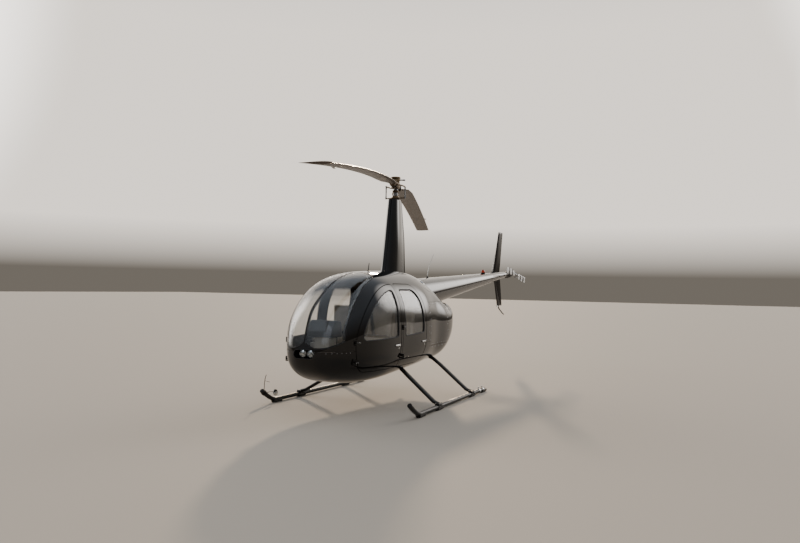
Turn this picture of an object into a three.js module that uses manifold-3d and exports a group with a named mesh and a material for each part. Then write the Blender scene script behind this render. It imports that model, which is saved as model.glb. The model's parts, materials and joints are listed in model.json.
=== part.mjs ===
// A four-seat light helicopter, parked on its skids with two drooping rotor blades.
// Sizes are in millimetres. Inside this file x is measured forward from the rotor mast,
// y to port and z up from the ground; the last lines move the mast to its place in the
// part's own frame, whose origin is under the middle of the whole machine.
import * as THREE from 'three'
import { mergeVertices } from 'three/addons/utils/BufferGeometryUtils.js'
import Module from 'manifold-3d'

const wasm = await Module()
wasm.setup()

// Clearances
const TOUCH_GAP = 0.3
const SADDLE_GAP = 0.6
const SEAM = 0.5
const DOOR_GAP = 8
const DOOR_SWING_GAP = 14

// Door hinges: an arm on the door ends in a knuckle that turns between two fixed ears.
const HINGE_RADIUS = 9
const HINGE_HALF = 14
const HINGE_ARM = 11
const HINGE_REACH = 90
const HINGE_DEPTH = 110
const HINGE_SET_IN = 12
const HINGE_CLEAR = 6

// Cabin and cowling
const CABIN_WALL = 30
const LOWER_WALL = 20
const GLASS_DEPTH = 10
const GLASS_THICKNESS = 6
const WAIST_Z = 830
const FIREWALL_X = 0
const FLOOR_Z = 555
const FLOOR_THICKNESS = 12

// Rotors
const ROTOR_RADIUS = 5030
const ROTOR_AZIMUTH = THREE.MathUtils.degToRad(19.4)
const ROTOR_TEETER = 0.034
const BLADE_DROOP = 413
const BLADE_DROOP_POWER = 1.53
const BLADE_PITCH = THREE.MathUtils.degToRad(-4.5)
const BLADE_CHORD = 272
const ROOT_CHORD_SHARES = [0.62, 0.85]
const BLADE_NOSE_SHARE = 0.36
const BLADE_THICKNESS = 32
const BLADE_ROOT = 470
const HUB_Z = 3148
const HUB_TOP_Z = 3277
const SHAFT_RADIUS = 38
const PITCH_LINK = [50, 150]
const TAIL_HUB = new THREE.Vector3(-5893, 215, 1940)
const TAIL_ROTOR_RADIUS = 737
const TAIL_ROTOR_PARK = THREE.MathUtils.degToRad(-7)
const TAIL_BLADE_CHORD = 130

// Mast fairing
const FAIRING_TOP_Z = 2925

// Tail
const CONE_FRONT = { x: -450, z: 1475, radius: 262 }
const CONE_REAR = { x: -5660, z: 1943, radius: 60 }
const CONE_WALL = 6
const FIN_Y = -125
const INTAKE = { z: 1060, radius: 210, wall: 14, backX: -1330 }

// Landing gear
const SKID_TRACK = 2180
const SKID_TUBE_RADIUS = 30
const SHOE_THICKNESS = 12
const SKID_HEEL_X = -1045
const SKID_BEND_X = 1420
const SKID_TOE = { x: 1740, z: 195 }
const TOE_CLAMP_X = 1690
const EXHAUST_RADIUS = 32

// The fuselage's cross sections, from the nose to the stern. Columns: x, z of the keel,
// z of the crown, half width, z of the widest line, fullness above it, fullness below it.
const SECTIONS = [
  [2425, 790, 790, 1, 790, 2.2, 2.2],
  [2412, 735, 862, 100, 792, 2.2, 2.3],
  [2383, 668, 985, 178, 800, 2.1, 2.4],
  [2333, 597, 1150, 262, 830, 2.05, 2.6],
  [2250, 530, 1316, 345, 870, 2.1, 2.7],
  [2100, 462, 1454, 447, 920, 2.2, 2.8],
  [1900, 415, 1588, 535, 970, 2.3, 3],
  [1650, 388, 1708, 600, 1010, 2.45, 3.2],
  [1300, 382, 1795, 635, 1040, 2.5, 3.4],
  [900, 400, 1830, 638, 1050, 2.35, 3.4],
  [450, 430, 1847, 636, 1050, 2.2, 3.4],
  [0, 452, 1848, 613, 1050, 2.15, 3.3],
  [-400, 472, 1790, 562, 1050, 2.1, 3.2],
  [-800, 490, 1615, 545, 1050, 2.2, 3.1],
  [-1120, 548, 1440, 503, 1060, 2.4, 2.7],
  [-1310, 645, 1400, 453, 1080, 2.9, 2.45],
  [-1450, 810, 1345, 335, 1090, 3, 2.25],
  [-1512, 1080, 1080, 1, 1080, 2.2, 2.2]
]
const RING_POINTS = 36

// Side outlines of the port doors and their windows, as x and z, and where each hinge line
// stands; a door turns outward about it, up to 75 degrees.
const DOORS = [
  {
    name: 'front',
    outline: [[1046, 560], [1046, 1650], [1230, 1636], [1420, 1588], [1600, 1500], [1752, 1385], [1880, 1240],
      [1978, 1070], [2012, 900], [1990, 740], [1920, 610], [1830, 560]],
    window: [[1118, 960], [1118, 1580], [1240, 1568], [1400, 1522], [1552, 1446], [1690, 1340], [1800, 1215],
      [1876, 1090], [1905, 985], [1860, 945]],
    hinge: { x: 2030, y: 505, levels: [690, 930] }
  },
  {
    name: 'rear',
    outline: [[982, 560], [982, 1655], [450, 1655], [330, 1600], [238, 1470], [190, 1250], [180, 760],
      [240, 620], [330, 560]],
    window: [[906, 960], [906, 1585], [470, 1585], [375, 1540], [310, 1440], [268, 1240], [268, 980]],
    hinge: { x: 1006, y: 652, levels: [700, 1080] }
  }
]

const paint = new THREE.MeshStandardMaterial({ color: '#0b0a0b', roughness: 0.15, metalness: 0.1 })
const clear = { transparent: true, opacity: 0.35 }
const glass = new THREE.MeshStandardMaterial({ color: '#5a666c', roughness: 0.05, ...clear })
const blackTube = new THREE.MeshStandardMaterial({ color: '#141414', roughness: 0.4, metalness: 0.3 })
const bladePaint = new THREE.MeshStandardMaterial({ color: '#26221f', roughness: 0.5, metalness: 0.1 })
const steel = new THREE.MeshStandardMaterial({ color: '#8b8d90', roughness: 0.35, metalness: 1 })
const leather = new THREE.MeshStandardMaterial({ color: '#4c4843', roughness: 0.6, metalness: 0 })
const trim = new THREE.MeshStandardMaterial({ color: '#3a3938', roughness: 0.8, metalness: 0 })
const carpet = new THREE.MeshStandardMaterial({ color: '#2f2d2b', roughness: 0.95, metalness: 0 })
const lampGlass = new THREE.MeshStandardMaterial({ color: '#e9ecef', roughness: 0.1, metalness: 0.2 })
const redGlass = new THREE.MeshStandardMaterial({ color: '#a3130c', roughness: 0.15, metalness: 0 })
const castMetal = new THREE.MeshStandardMaterial({ color: '#4a4b4d', roughness: 0.6, metalness: 0.8 })

// A closed geometry as a solid that can be joined and cut.
function toSolid (geometry) {
  const bare = geometry.clone()
  bare.deleteAttribute('normal')
  bare.deleteAttribute('uv')
  const merged = mergeVertices(bare, 1e-3)
  const vertProperties = new Float32Array(merged.attributes.position.array)
  const triVerts = new Uint32Array(merged.index.array)
  return new wasm.Manifold(new wasm.Mesh({ numProp: 3, vertProperties, triVerts }))
}

// The geometry of a solid.
function toGeometry (solid) {
  const mesh = solid.getMesh()
  const geometry = new THREE.BufferGeometry()
  geometry.setAttribute('position', new THREE.BufferAttribute(new Float32Array(mesh.vertProperties), 3))
  geometry.setIndex(new THREE.BufferAttribute(new Uint32Array(mesh.triVerts), 1))
  geometry.computeVertexNormals()
  return geometry
}

// Six times the volume inside an indexed geometry, negative when it is inside out.
function signedVolume (points, faces) {
  let sum = 0
  for (let i = 0; i < faces.length; i += 3) {
    const [a, b, c] = [points[faces[i]], points[faces[i + 1]], points[faces[i + 2]]]
    sum += a.dot(new THREE.Vector3().crossVectors(b, c))
  }
  return sum
}

// A closed solid through rings of points, its two ends closed by fans around a pole.
function loft (rings, startPole, endPole) {
  const count = rings[0].length
  const points = rings.flat()
  const faces = []
  for (let i = 0; i + 1 < rings.length; i++) {
    for (let j = 0; j < count; j++) {
      const a = i * count + j
      const b = i * count + (j + 1) % count
      faces.push(a, b, b + count, a, b + count, a + count)
    }
  }
  const last = (rings.length - 1) * count
  points.push(startPole ?? middle(rings[0]), endPole ?? middle(rings[rings.length - 1]))
  for (let j = 0; j < count; j++) {
    const next = (j + 1) % count
    faces.push(points.length - 2, next, j)
    faces.push(points.length - 1, last + j, last + next)
  }
  if (signedVolume(points, faces) < 0) {
    faces.reverse()
  }
  const geometry = new THREE.BufferGeometry()
  geometry.setAttribute('position', new THREE.Float32BufferAttribute(points.flatMap(p => [p.x, p.y, p.z]), 3))
  geometry.setIndex(faces)
  return geometry
}

function middle (ring) {
  const sum = new THREE.Vector3()
  for (const point of ring) {
    sum.add(point)
  }
  return sum.divideScalar(ring.length)
}

// The values of a table of sections at a place between two of its rows, as a smooth curve.
function between (table, place) {
  const row = Math.min(Math.floor(place), table.length - 2)
  const t = place - row
  const pick = index => table[Math.max(0, Math.min(table.length - 1, index))]
  const [before, from, to, after] = [pick(row - 1), pick(row), pick(row + 1), pick(row + 2)]
  return from.map((value, column) => {
    const leave = (to[column] - before[column]) / 2
    const arrive = (after[column] - value) / 2
    const gain = to[column] - value
    return value + t * (leave + t * (3 * gain - 2 * leave - arrive + t * (leave + arrive - 2 * gain)))
  })
}

// A point of the fuselage's skin: place runs from nose to stern, angle around the section.
function skinPoint (place, angle) {
  const [x, keel, crown, halfWidth, level, crownPower, keelPower] = between(SECTIONS, place)
  const up = Math.sin(angle)
  const out = Math.cos(angle)
  const power = 2 / (up > 0 ? crownPower : keelPower)
  const reach = up > 0 ? crown - level : level - keel
  const y = halfWidth * Math.sign(out) * Math.abs(out) ** power
  return new THREE.Vector3(x, y, level + reach * Math.sign(up) * Math.abs(up) ** power)
}

// The same point moved inward by a depth, along the skin's normal.
function insetPoint (place, angle, depth) {
  const step = 0.02
  const here = skinPoint(place, angle)
  const along = skinPoint(place + step, angle).sub(skinPoint(place - step, angle))
  const around = skinPoint(place, angle + step).sub(skinPoint(place, angle - step))
  const normal = along.cross(around).normalize()
  const level = between(SECTIONS, place)[4]
  const outward = new THREE.Vector3(0, here.y, here.z - level)
  if (normal.dot(outward) < 0) {
    normal.negate()
  }
  return here.addScaledVector(normal, -depth)
}

// The fuselage's form as a closed solid, inset by a depth.
function fuselageForm (depth) {
  const last = SECTIONS.length - 1
  const places = []
  for (let place = 0.5; place < last - 0.4; place += place < 6 || place > last - 4 ? 0.5 : 1) {
    places.push(place)
  }
  const rings = places.map(place => {
    const ring = []
    for (let j = 0; j < RING_POINTS; j++) {
      ring.push(insetPoint(place, (j + 0.5) * 2 * Math.PI / RING_POINTS, depth))
    }
    return ring
  })
  const nose = skinPoint(0, 0).setY(0)
  const stern = skinPoint(last, 0).setY(0)
  nose.x -= depth
  stern.x += depth
  return toSolid(loft(rings, nose, stern))
}

// A prism whose outline is drawn in side view as x and z, between two places across.
function sidePrism (outline, fromY, toY, round = 0) {
  const turn = new THREE.Matrix4().makeBasis(
    new THREE.Vector3(1, 0, 0), new THREE.Vector3(0, 0, 1), new THREE.Vector3(0, -1, 0))
  turn.setPosition(0, toY, 0)
  return prism(outline, toY - fromY, turn, round)
}

// A prism whose outline is drawn from the front as y and z, between two places along.
function frontPrism (outline, fromX, toX, round = 0) {
  const turn = new THREE.Matrix4().makeBasis(
    new THREE.Vector3(0, 1, 0), new THREE.Vector3(0, 0, 1), new THREE.Vector3(1, 0, 0))
  turn.setPosition(fromX, 0, 0)
  return prism(outline, toX - fromX, turn, round)
}

function prism (outline, depth, turn, round) {
  const geometry = new THREE.ExtrudeGeometry(roundedShape(outline, round),
    { depth, bevelEnabled: false, curveSegments: 4 })
  return toSolid(geometry.applyMatrix4(turn))
}

// An outline with its corners rounded by a radius.
function roundedShape (outline, round) {
  const corners = outline.map(([a, b]) => new THREE.Vector2(a, b))
  if (round === 0) {
    return new THREE.Shape(corners)
  }
  const shape = new THREE.Shape()
  corners.forEach((corner, i) => {
    const before = corners.at(i - 1).clone().sub(corner)
    const after = corners[(i + 1) % corners.length].clone().sub(corner)
    const reach = Math.min(round, before.length() * 0.45, after.length() * 0.45)
    const enter = corner.clone().addScaledVector(before.normalize(), reach)
    const leave = corner.clone().addScaledVector(after.normalize(), reach)
    if (i === 0) {
      shape.moveTo(enter.x, enter.y)
    } else {
      shape.lineTo(enter.x, enter.y)
    }
    shape.quadraticCurveTo(corner.x, corner.y, leave.x, leave.y)
  })
  shape.closePath()
  return shape
}

// A convex outline with every edge moved outward by a distance.
function grown (outline, distance) {
  const area = outline.reduce((sum, [x, y], i) => {
    const [nextX, nextY] = outline[(i + 1) % outline.length]
    return sum + x * nextY - nextX * y
  }, 0)
  const side = Math.sign(area)
  return outline.map((corner, i) => {
    const before = outline.at(i - 1)
    const after = outline[(i + 1) % outline.length]
    const first = edgeNormal(before, corner, side)
    const second = edgeNormal(corner, after, side)
    const scale = distance / (1 + first[0] * second[0] + first[1] * second[1])
    return [corner[0] + scale * (first[0] + second[0]), corner[1] + scale * (first[1] + second[1])]
  })
}

function edgeNormal (from, to, side) {
  const length = Math.hypot(to[0] - from[0], to[1] - from[1])
  return [side * (to[1] - from[1]) / length, -side * (to[0] - from[0]) / length]
}

// A box between two corners.
function box (low, high) {
  const size = high.map((value, i) => value - low[i])
  const geometry = new THREE.BoxGeometry(...size)
  geometry.translate(low[0] + size[0] / 2, low[1] + size[1] / 2, low[2] + size[2] / 2)
  return toSolid(geometry)
}

// A round bar from one point to another, its two radii at its ends.
function bar (from, to, radius, endRadius = radius, sides = 16) {
  const start = new THREE.Vector3(...from)
  const end = new THREE.Vector3(...to)
  const axis = end.clone().sub(start)
  const geometry = new THREE.CylinderGeometry(endRadius, radius, axis.length(), sides)
  geometry.applyQuaternion(new THREE.Quaternion().setFromUnitVectors(
    new THREE.Vector3(0, 1, 0), axis.clone().normalize()))
  const centre = start.add(end).multiplyScalar(0.5)
  geometry.translate(centre.x, centre.y, centre.z)
  return toSolid(geometry)
}

// A tube along points, each given as x, y, z and its half widths along x and across.
function swept (stations, sides = 12) {
  const centres = stations.map(([x, y, z]) => new THREE.Vector3(x, y, z))
  const rings = stations.map(([, , , alongX, across], i) => {
    const before = centres[Math.max(0, i - 1)]
    const after = centres[Math.min(centres.length - 1, i + 1)]
    const direction = after.clone().sub(before).normalize()
    const guide = Math.abs(direction.x) > 0.9 ? new THREE.Vector3(0, 1, 0) : new THREE.Vector3(1, 0, 0)
    const first = guide.addScaledVector(direction, -guide.dot(direction)).normalize()
    const second = new THREE.Vector3().crossVectors(direction, first)
    const ring = []
    for (let j = 0; j < sides; j++) {
      const angle = (j + 0.5) * 2 * Math.PI / sides
      ring.push(centres[i].clone().addScaledVector(first, alongX * Math.cos(angle))
        .addScaledVector(second, across * Math.sin(angle)))
    }
    return ring
  })
  return toSolid(loft(rings))
}

// Half the thickness of a wing section at a share of its chord, for a thickness of one.
function wingHalf (share) {
  return 5 * (0.2969 * Math.sqrt(share) - 0.126 * share - 0.3516 * share ** 2 + 0.2843 * share ** 3 -
    0.1036 * share ** 4)
}

// The outline of a wing section as chordwise and thickness shares, nose first.
function wingOutline (steps) {
  const outline = []
  for (let i = 0; i <= steps; i++) {
    const share = 0.5 * (1 - Math.cos(Math.PI * i / steps))
    outline.push([share, Math.max(wingHalf(share), 0.06)])
  }
  for (let i = steps - 1; i > 0; i--) {
    const share = 0.5 * (1 - Math.cos(Math.PI * i / steps))
    outline.push([share, -Math.max(wingHalf(share), 0.06)])
  }
  return outline
}

// The other side's copy of a solid.
function mirrored (solid) {
  const geometry = toGeometry(solid)
  geometry.deleteAttribute('normal')
  geometry.scale(1, -1, 1)
  const index = geometry.index.array
  for (let i = 0; i < index.length; i += 3) {
    [index[i], index[i + 1]] = [index[i + 1], index[i]]
  }
  return toSolid(geometry)
}

const helicopter = new THREE.Group()
let extent = new THREE.Box3()

function add (name, solid, material) {
  const mesh = new THREE.Mesh(toGeometry(solid), material)
  mesh.name = name
  helicopter.add(mesh)
  extent = extent.union(new THREE.Box3().setFromObject(mesh))
}

const FAR = 4000
const outerForm = fuselageForm(0)
const cabinWalls = outerForm.subtract(fuselageForm(CABIN_WALL))
const lowerWalls = outerForm.subtract(fuselageForm(LOWER_WALL))
const insideForm = fuselageForm(CABIN_WALL + TOUCH_GAP)

// The tail cone's middle height and radius at a place along it.
function coneAt (x) {
  const share = (x - CONE_FRONT.x) / (CONE_REAR.x - CONE_FRONT.x)
  return {
    z: CONE_FRONT.z + share * (CONE_REAR.z - CONE_FRONT.z),
    radius: CONE_FRONT.radius + share * (CONE_REAR.radius - CONE_FRONT.radius)
  }
}

// A stretch of the tail cone's form, grown by a distance.
function coneSolid (fromX, toX, grow) {
  const from = coneAt(fromX)
  const to = coneAt(toX)
  return bar([fromX, 0, from.z], [toX, 0, to.z], from.radius + grow, to.radius + grow, 24)
}

// Windscreen: two panes that meet at the centre bar, cut from the front by a line that
// dips at each side of the bar, and from the side by a line along the door post.
const SCREEN_BAR = 12
const SCREEN_EDGE = [[0, 948], [60, 905], [140, 868], [240, 868], [350, 905], [466, 985], [560, 1085],
  [700, 1260]]
const SCREEN_SIDE = [[2150, 700], [2150, 1060], [2018, 1285], [1900, 1418], [1775, 1524], [1635, 1622],
  [1450, 1690], [1330, 1725], [1250, 1760], [1210, 1800], [1200, 2000], [2700, 2000], [2700, 700]]

function screenSolid (walls, shrink) {
  const outline = [...SCREEN_EDGE.map(([y, z]) => [y, z + shrink]), [700, 2000], [0, 2000]]
  const fromFront = frontPrism(outline, 900, 2600)
  const fromSide = sidePrism(SCREEN_SIDE.map(([x, z]) => [x + shrink, z]), -10, 900)
  const bar = box([0, -1, 0], [FAR, SCREEN_BAR + shrink, FAR])
  return walls.intersect(fromFront).intersect(fromSide).subtract(bar)
}

const glassShell = fuselageForm(GLASS_DEPTH).subtract(fuselageForm(GLASS_DEPTH + GLASS_THICKNESS))
const paneShell = fuselageForm(0).subtract(fuselageForm(GLASS_THICKNESS))
const screenOpening = screenSolid(box([-FAR, -FAR, -FAR], [FAR, FAR, FAR]), 0)
const screenPane = screenSolid(paneShell, TOUCH_GAP)

// Nose lamps sit in an oval recess that is lined by a dark cup.
const LAMPS = { z: 800, recessHalfWidth: 150, recessHalfHeight: 58, radius: 45, spacing: 108 }
const recessOutline = [[-1, -1], [1, -1], [1, 1], [-1, 1]]
  .map(([a, b]) => [a * LAMPS.recessHalfWidth, LAMPS.z + b * LAMPS.recessHalfHeight])
const recess = frontPrism(recessOutline, 2150, 2600, LAMPS.recessHalfHeight)
const cupInside = frontPrism(grown(recessOutline, -8), 2265, 2600, LAMPS.recessHalfHeight - 8)
const cupOutline = grown(recessOutline, -TOUCH_GAP)
const cupOutside = frontPrism(cupOutline, 2240, 2600, LAMPS.recessHalfHeight - TOUCH_GAP)

// Landing gear cross tubes: straight across inside the belly, then faired legs to the skids.
// Columns: share of the way, y, z, half width along, half width across.
const GEAR = [
  { name: 'front', insideX: 560, footX: 812, insideZ: 508 },
  { name: 'rear', insideX: -560, footX: -470, insideZ: 556 }
]
const skidY = SKID_TRACK / 2
const tubeZ = SHOE_THICKNESS + SKID_TUBE_RADIUS

function crossTube ({ insideX, footX, insideZ }, grow) {
  const leg = [
    [0, 0, insideZ, 28, 28],
    [0, 330, insideZ, 28, 28],
    [0.12, 430, insideZ - 32, 40, 26],
    [0.3, 560, insideZ - 118, 52, 25],
    [0.9, 1010, tubeZ + 58, 52, 24],
    [1, skidY + grow, tubeZ + SKID_TUBE_RADIUS + 5, 40, 22]
  ]
  const half = leg.map(([share, y, z, along, across]) =>
    [insideX + share * (footX - insideX), y, z, along + grow, across + grow])
  const otherHalf = half.slice(1).reverse().map(([x, y, z, along, across]) => [x, -y, z, along, across])
  return swept([...otherHalf, ...half])
}

// Height of a skid tube's middle along its upturned toe, for a share of the bend.
function toeZ (share) {
  return tubeZ + (SKID_TOE.z - tubeZ) * share ** 1.5
}

function skidTube (side, grow) {
  const radius = SKID_TUBE_RADIUS + grow
  const tube = []
  for (const x of [SKID_HEEL_X, 0, SKID_BEND_X - 150, SKID_BEND_X]) {
    tube.push([x, side * skidY, tubeZ, radius, radius])
  }
  for (let i = 1; i <= 5; i++) {
    const share = i / 5
    tube.push([SKID_BEND_X + share * (SKID_TOE.x - SKID_BEND_X), side * skidY, toeZ(share), radius, radius])
  }
  return swept(tube)
}

function skid (side) {
  let solid = skidTube(side, 0)
  for (const x of [-1000, -480, 800, 1390]) {
    solid = solid.add(box([x - 90, side * skidY - 22, 0], [x + 90, side * skidY + 22, tubeZ - 8]))
  }
  return solid
}

const crossTubes = GEAR.map(gear => crossTube(gear, 0))
const crossHoles = GEAR.map(gear => crossTube(gear, SADDLE_GAP))

for (const side of [1, -1]) {
  let solid = skid(side)
  for (const gear of GEAR) {
    solid = solid.add(box([gear.footX - 60, side * skidY - 34, tubeZ - 10],
      [gear.footX + 60, side * skidY + 34, tubeZ + 50]))
  }
  for (const hole of crossHoles) {
    solid = solid.subtract(hole)
  }
  add(side > 0 ? 'skid_port' : 'skid_starboard', solid, blackTube)
}
GEAR.forEach((gear, i) => {
  const solid = crossTubes[i].subtract(box([-FAR, -FAR, -FAR], [FAR, FAR, SHOE_THICKNESS]))
  add(`cross_tube_${gear.name}`, solid, blackTube)
})

// The starboard toe's clamp carries a bent arm with a branch, and a small round mirror on a stay.
const clampShare = (TOE_CLAMP_X - SKID_BEND_X) / (SKID_TOE.x - SKID_BEND_X)
const clampZ = toeZ(clampShare)
const clampRise = toeZ(clampShare + 0.1) - toeZ(clampShare - 0.1)
const clampRun = 0.2 * (SKID_TOE.x - SKID_BEND_X)
const clampHalf = 15 / Math.hypot(clampRise, clampRun)
const mirrorPlace = [1480, -skidY + 25, 140]
let toeMirror = bar([TOE_CLAMP_X - clampHalf * clampRun, -skidY, clampZ - clampHalf * clampRise],
  [TOE_CLAMP_X + clampHalf * clampRun, -skidY, clampZ + clampHalf * clampRise], 38, 38, 12)
const toeArm = [[TOE_CLAMP_X, clampZ, 6], [1684, 278, 5], [1675, 338, 5], [1648, 398, 4]]
toeMirror = toeMirror.add(swept(toeArm.map(([x, z, radius]) => [x, -skidY, z, radius, radius]), 6))
toeMirror = toeMirror.add(bar([1680, -skidY, 322], [1568, -skidY, 292], 4, 4, 6))
toeMirror = toeMirror.add(bar([TOE_CLAMP_X, -skidY + 34, clampZ], mirrorPlace, 5, 5, 6))
const mirrorFace = [mirrorPlace[0] + 3, mirrorPlace[1] + 14, mirrorPlace[2] + 3]
toeMirror = toeMirror.add(bar(mirrorPlace, mirrorFace, 26, 44, 16))
add('toe_mirror', toeMirror.subtract(skidTube(-1, TOUCH_GAP)), steel)

// Doors with their windows and hinge arms, the openings they close and the ears they hang in.
const hingeClearance = fuselageForm(-HINGE_CLEAR)
const hingeBed = fuselageForm(12)

function doorParts (door, side) {
  const flip = solid => side > 0 ? solid : mirrored(solid)
  const { x, y, levels } = door.hinge
  const opening = sidePrism(grown(door.outline, DOOR_GAP), 200, 900, 40)
    .add(sidePrism(door.outline.map(([px, pz]) => [px - DOOR_SWING_GAP, pz]), 200, 900, 40))
  let leaf = cabinWalls.intersect(sidePrism(door.outline, 200, 900, 40))
  leaf = leaf.subtract(sidePrism(door.window, 200, 900, 50))
  const seat = sidePrism(grown(door.outline, -HINGE_SET_IN), 200, 900)
  const ears = []
  for (const level of levels) {
    const plate = box([x - HINGE_REACH, y - HINGE_DEPTH, level - HINGE_ARM],
      [x, y + HINGE_RADIUS, level + HINGE_ARM])
    const arm = plate.subtract(hingeClearance)
    const foot = plate.intersect(seat).subtract(hingeBed)
    const knuckle = bar([x, y, level - HINGE_HALF], [x, y, level + HINGE_HALF], HINGE_RADIUS)
    leaf = leaf.add(arm).add(foot).add(knuckle)
    for (const up of [1, -1]) {
      const near = level + up * (HINGE_HALF + TOUCH_GAP)
      const far = level + up * (HINGE_HALF + 18)
      const ear = box([x - HINGE_RADIUS, y - HINGE_DEPTH, Math.min(near, far)],
        [x + HINGE_RADIUS, y, Math.max(near, far)]).subtract(hingeBed)
      ears.push(ear.add(bar([x, y, near], [x, y, far], HINGE_RADIUS)))
    }
  }
  const pane = glassShell.intersect(sidePrism(grown(door.window, -TOUCH_GAP), 200, 900, 50 - TOUCH_GAP))
  return { leaf: flip(leaf), opening: flip(opening), ears: ears.map(flip), pane: flip(pane) }
}

const above = box([-FAR, -FAR, WAIST_Z + SEAM / 2], [FAR, FAR, FAR])
const below = box([-FAR, -FAR, -FAR], [FAR, FAR, WAIST_Z - SEAM / 2])
const ahead = box([FIREWALL_X + SEAM / 2, -FAR, -FAR], [FAR, FAR, FAR])
const behind = box([-FAR, -FAR, -FAR], [FIREWALL_X - SEAM / 2, FAR, FAR])

let cabinFrame = cabinWalls.intersect(above).intersect(ahead)
let noseAndBelly = lowerWalls.intersect(below).intersect(ahead)
for (const side of [1, -1]) {
  const sideName = side > 0 ? 'port' : 'starboard'
  for (const door of DOORS) {
    const { leaf, opening, ears, pane } = doorParts(door, side)
    cabinFrame = cabinFrame.subtract(opening)
    noseAndBelly = noseAndBelly.subtract(opening)
    for (const ear of ears) {
      if (ear.boundingBox().min[2] > WAIST_Z) {
        cabinFrame = cabinFrame.add(ear)
      } else {
        noseAndBelly = noseAndBelly.add(ear)
      }
    }
    add(`door_${door.name}_${sideName}`, leaf, paint)
    add(`window_${door.name}_${sideName}`, pane, glass)
  }
  cabinFrame = cabinFrame.subtract(side > 0 ? screenOpening : mirrored(screenOpening))
  add(`windscreen_${sideName}`, side > 0 ? screenPane : mirrored(screenPane), glass)
}
noseAndBelly = noseAndBelly.subtract(recess)
cabinFrame = cabinFrame.subtract(recess)
for (const hole of crossHoles) {
  noseAndBelly = noseAndBelly.subtract(hole)
}
add('cabin_frame', cabinFrame, paint)
add('nose_and_belly', noseAndBelly, paint)

// The lamp cup and its two lamps.
const noseFront = fuselageForm(TOUCH_GAP)
add('lamp_cup', cupOutside.subtract(cupInside).intersect(noseFront), trim)
for (const side of [1, -1]) {
  const y = side * LAMPS.spacing / 2
  const lamp = bar([2265 + TOUCH_GAP, y, LAMPS.z], [2330, y, LAMPS.z], 34, LAMPS.radius, 16)
    .add(bar([2329, y, LAMPS.z], [2345, y, LAMPS.z], LAMPS.radius, LAMPS.radius - 8, 16))
  add(`landing_lamp_${side > 0 ? 'port' : 'starboard'}`, lamp, lampGlass)
}

// Cabin floor and firewall fill the cabin's section.
const floorForm = fuselageForm(CABIN_WALL + TOUCH_GAP)
let floor = floorForm.intersect(box([60, -FAR, FLOOR_Z], [2230, FAR, FLOOR_Z + FLOOR_THICKNESS]))
floor = floor.subtract(cupOutside)
add('cabin_floor', floor, carpet)
const wallBox = box([20, -FAR, FLOOR_Z + FLOOR_THICKNESS + TOUCH_GAP], [32, FAR, 1900])
add('firewall', floorForm.intersect(wallBox), trim)

// Cowlings around the engine bay.
const cowlTop = 1400
const cowlFoot = 760
const sternX = -900
const coneHole = coneSolid(CONE_FRONT.x + 300, CONE_REAR.x, TOUCH_GAP)
const cowls = lowerWalls.intersect(behind).subtract(coneHole)
const slab = (fromX, toX, fromZ, toZ) => box([fromX, -FAR, fromZ], [toX, FAR, toZ])
let bellyCowl = cowls.intersect(slab(sternX + SEAM, FAR, -FAR, cowlFoot - SEAM))
for (const hole of crossHoles) {
  bellyCowl = bellyCowl.subtract(hole)
}

// Exhaust: a pipe from the engine's underside through the belly cowl, turned aft at its end.
const ENGINE_FOOT = 720
function exhaustPipe (radius, topZ) {
  const path = [[-700, topZ], [-700, 560], [-712, 492], [-752, 446], [-830, 424]]
  return swept(path.map(([x, z]) => [x, -190, z, radius, radius]), 10)
}
bellyCowl = bellyCowl.subtract(exhaustPipe(EXHAUST_RADIUS + SADDLE_GAP, ENGINE_FOOT))
const exhaustMouth = bar([-770, -190, 440.9], [-840, -190, 421.2], EXHAUST_RADIUS - 5, EXHAUST_RADIUS - 5, 10)
add('exhaust_pipe', exhaustPipe(EXHAUST_RADIUS, ENGINE_FOOT - TOUCH_GAP).subtract(exhaustMouth), steel)
add('belly_cowl', bellyCowl, paint)
add('upper_cowl', cowls.intersect(slab(sternX + SEAM, FAR, cowlTop + SEAM, FAR)), paint)

// The cooling intake: a round opening in the stern, lined by a shroud with a guard across it.
const intakeRound = (radius, fromX) => bar([-1600, 0, INTAKE.z], [fromX, 0, INTAKE.z], radius, radius, 24)
const intakeHole = intakeRound(INTAKE.radius, INTAKE.backX + 60)
const sternCowl = cowls.intersect(slab(-FAR, sternX, -FAR, FAR)).subtract(intakeHole)
add('stern_cowl', sternCowl, paint)
let intake = intakeRound(INTAKE.radius - TOUCH_GAP, INTAKE.backX)
  .subtract(intakeRound(INTAKE.radius - INTAKE.wall, INTAKE.backX - INTAKE.wall))
const guardX = -1405
const guardReach = INTAKE.radius - INTAKE.wall / 2
intake = intake.add(bar([guardX, -guardReach, INTAKE.z], [guardX, guardReach, INTAKE.z], 6, 6, 6))
intake = intake.add(bar([guardX, 0, INTAKE.z - guardReach], [guardX, 0, INTAKE.z + guardReach], 6, 6, 6))
intake = intake.add(bar([guardX - 8, 0, INTAKE.z], [guardX + 8, 0, INTAKE.z], 44, 44, 12))
add('intake_shroud', intake.intersect(fuselageForm(2)), trim)
for (const side of [1, -1]) {
  const half = box([sternX + SEAM, side > 0 ? 0 : -FAR, cowlFoot], [FAR, side > 0 ? FAR : 0, cowlTop])
  add(`side_cowl_${side > 0 ? 'port' : 'starboard'}`, cowls.intersect(half), paint)
}

// The engine as one plain block on four feet that stand on the belly cowl.
let engine = box([-860, -330, ENGINE_FOOT], [-180, 330, 1180])
for (const [x, y] of [[-800, -230], [-800, 230], [-240, -230], [-240, 230]]) {
  engine = engine.add(box([x - 30, y - 30, 480], [x + 30, y + 30, 730]))
}
engine = engine.intersect(fuselageForm(LOWER_WALL + TOUCH_GAP))
for (const hole of crossHoles) {
  engine = engine.subtract(hole)
}
add('engine_block', engine, castMetal)

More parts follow.
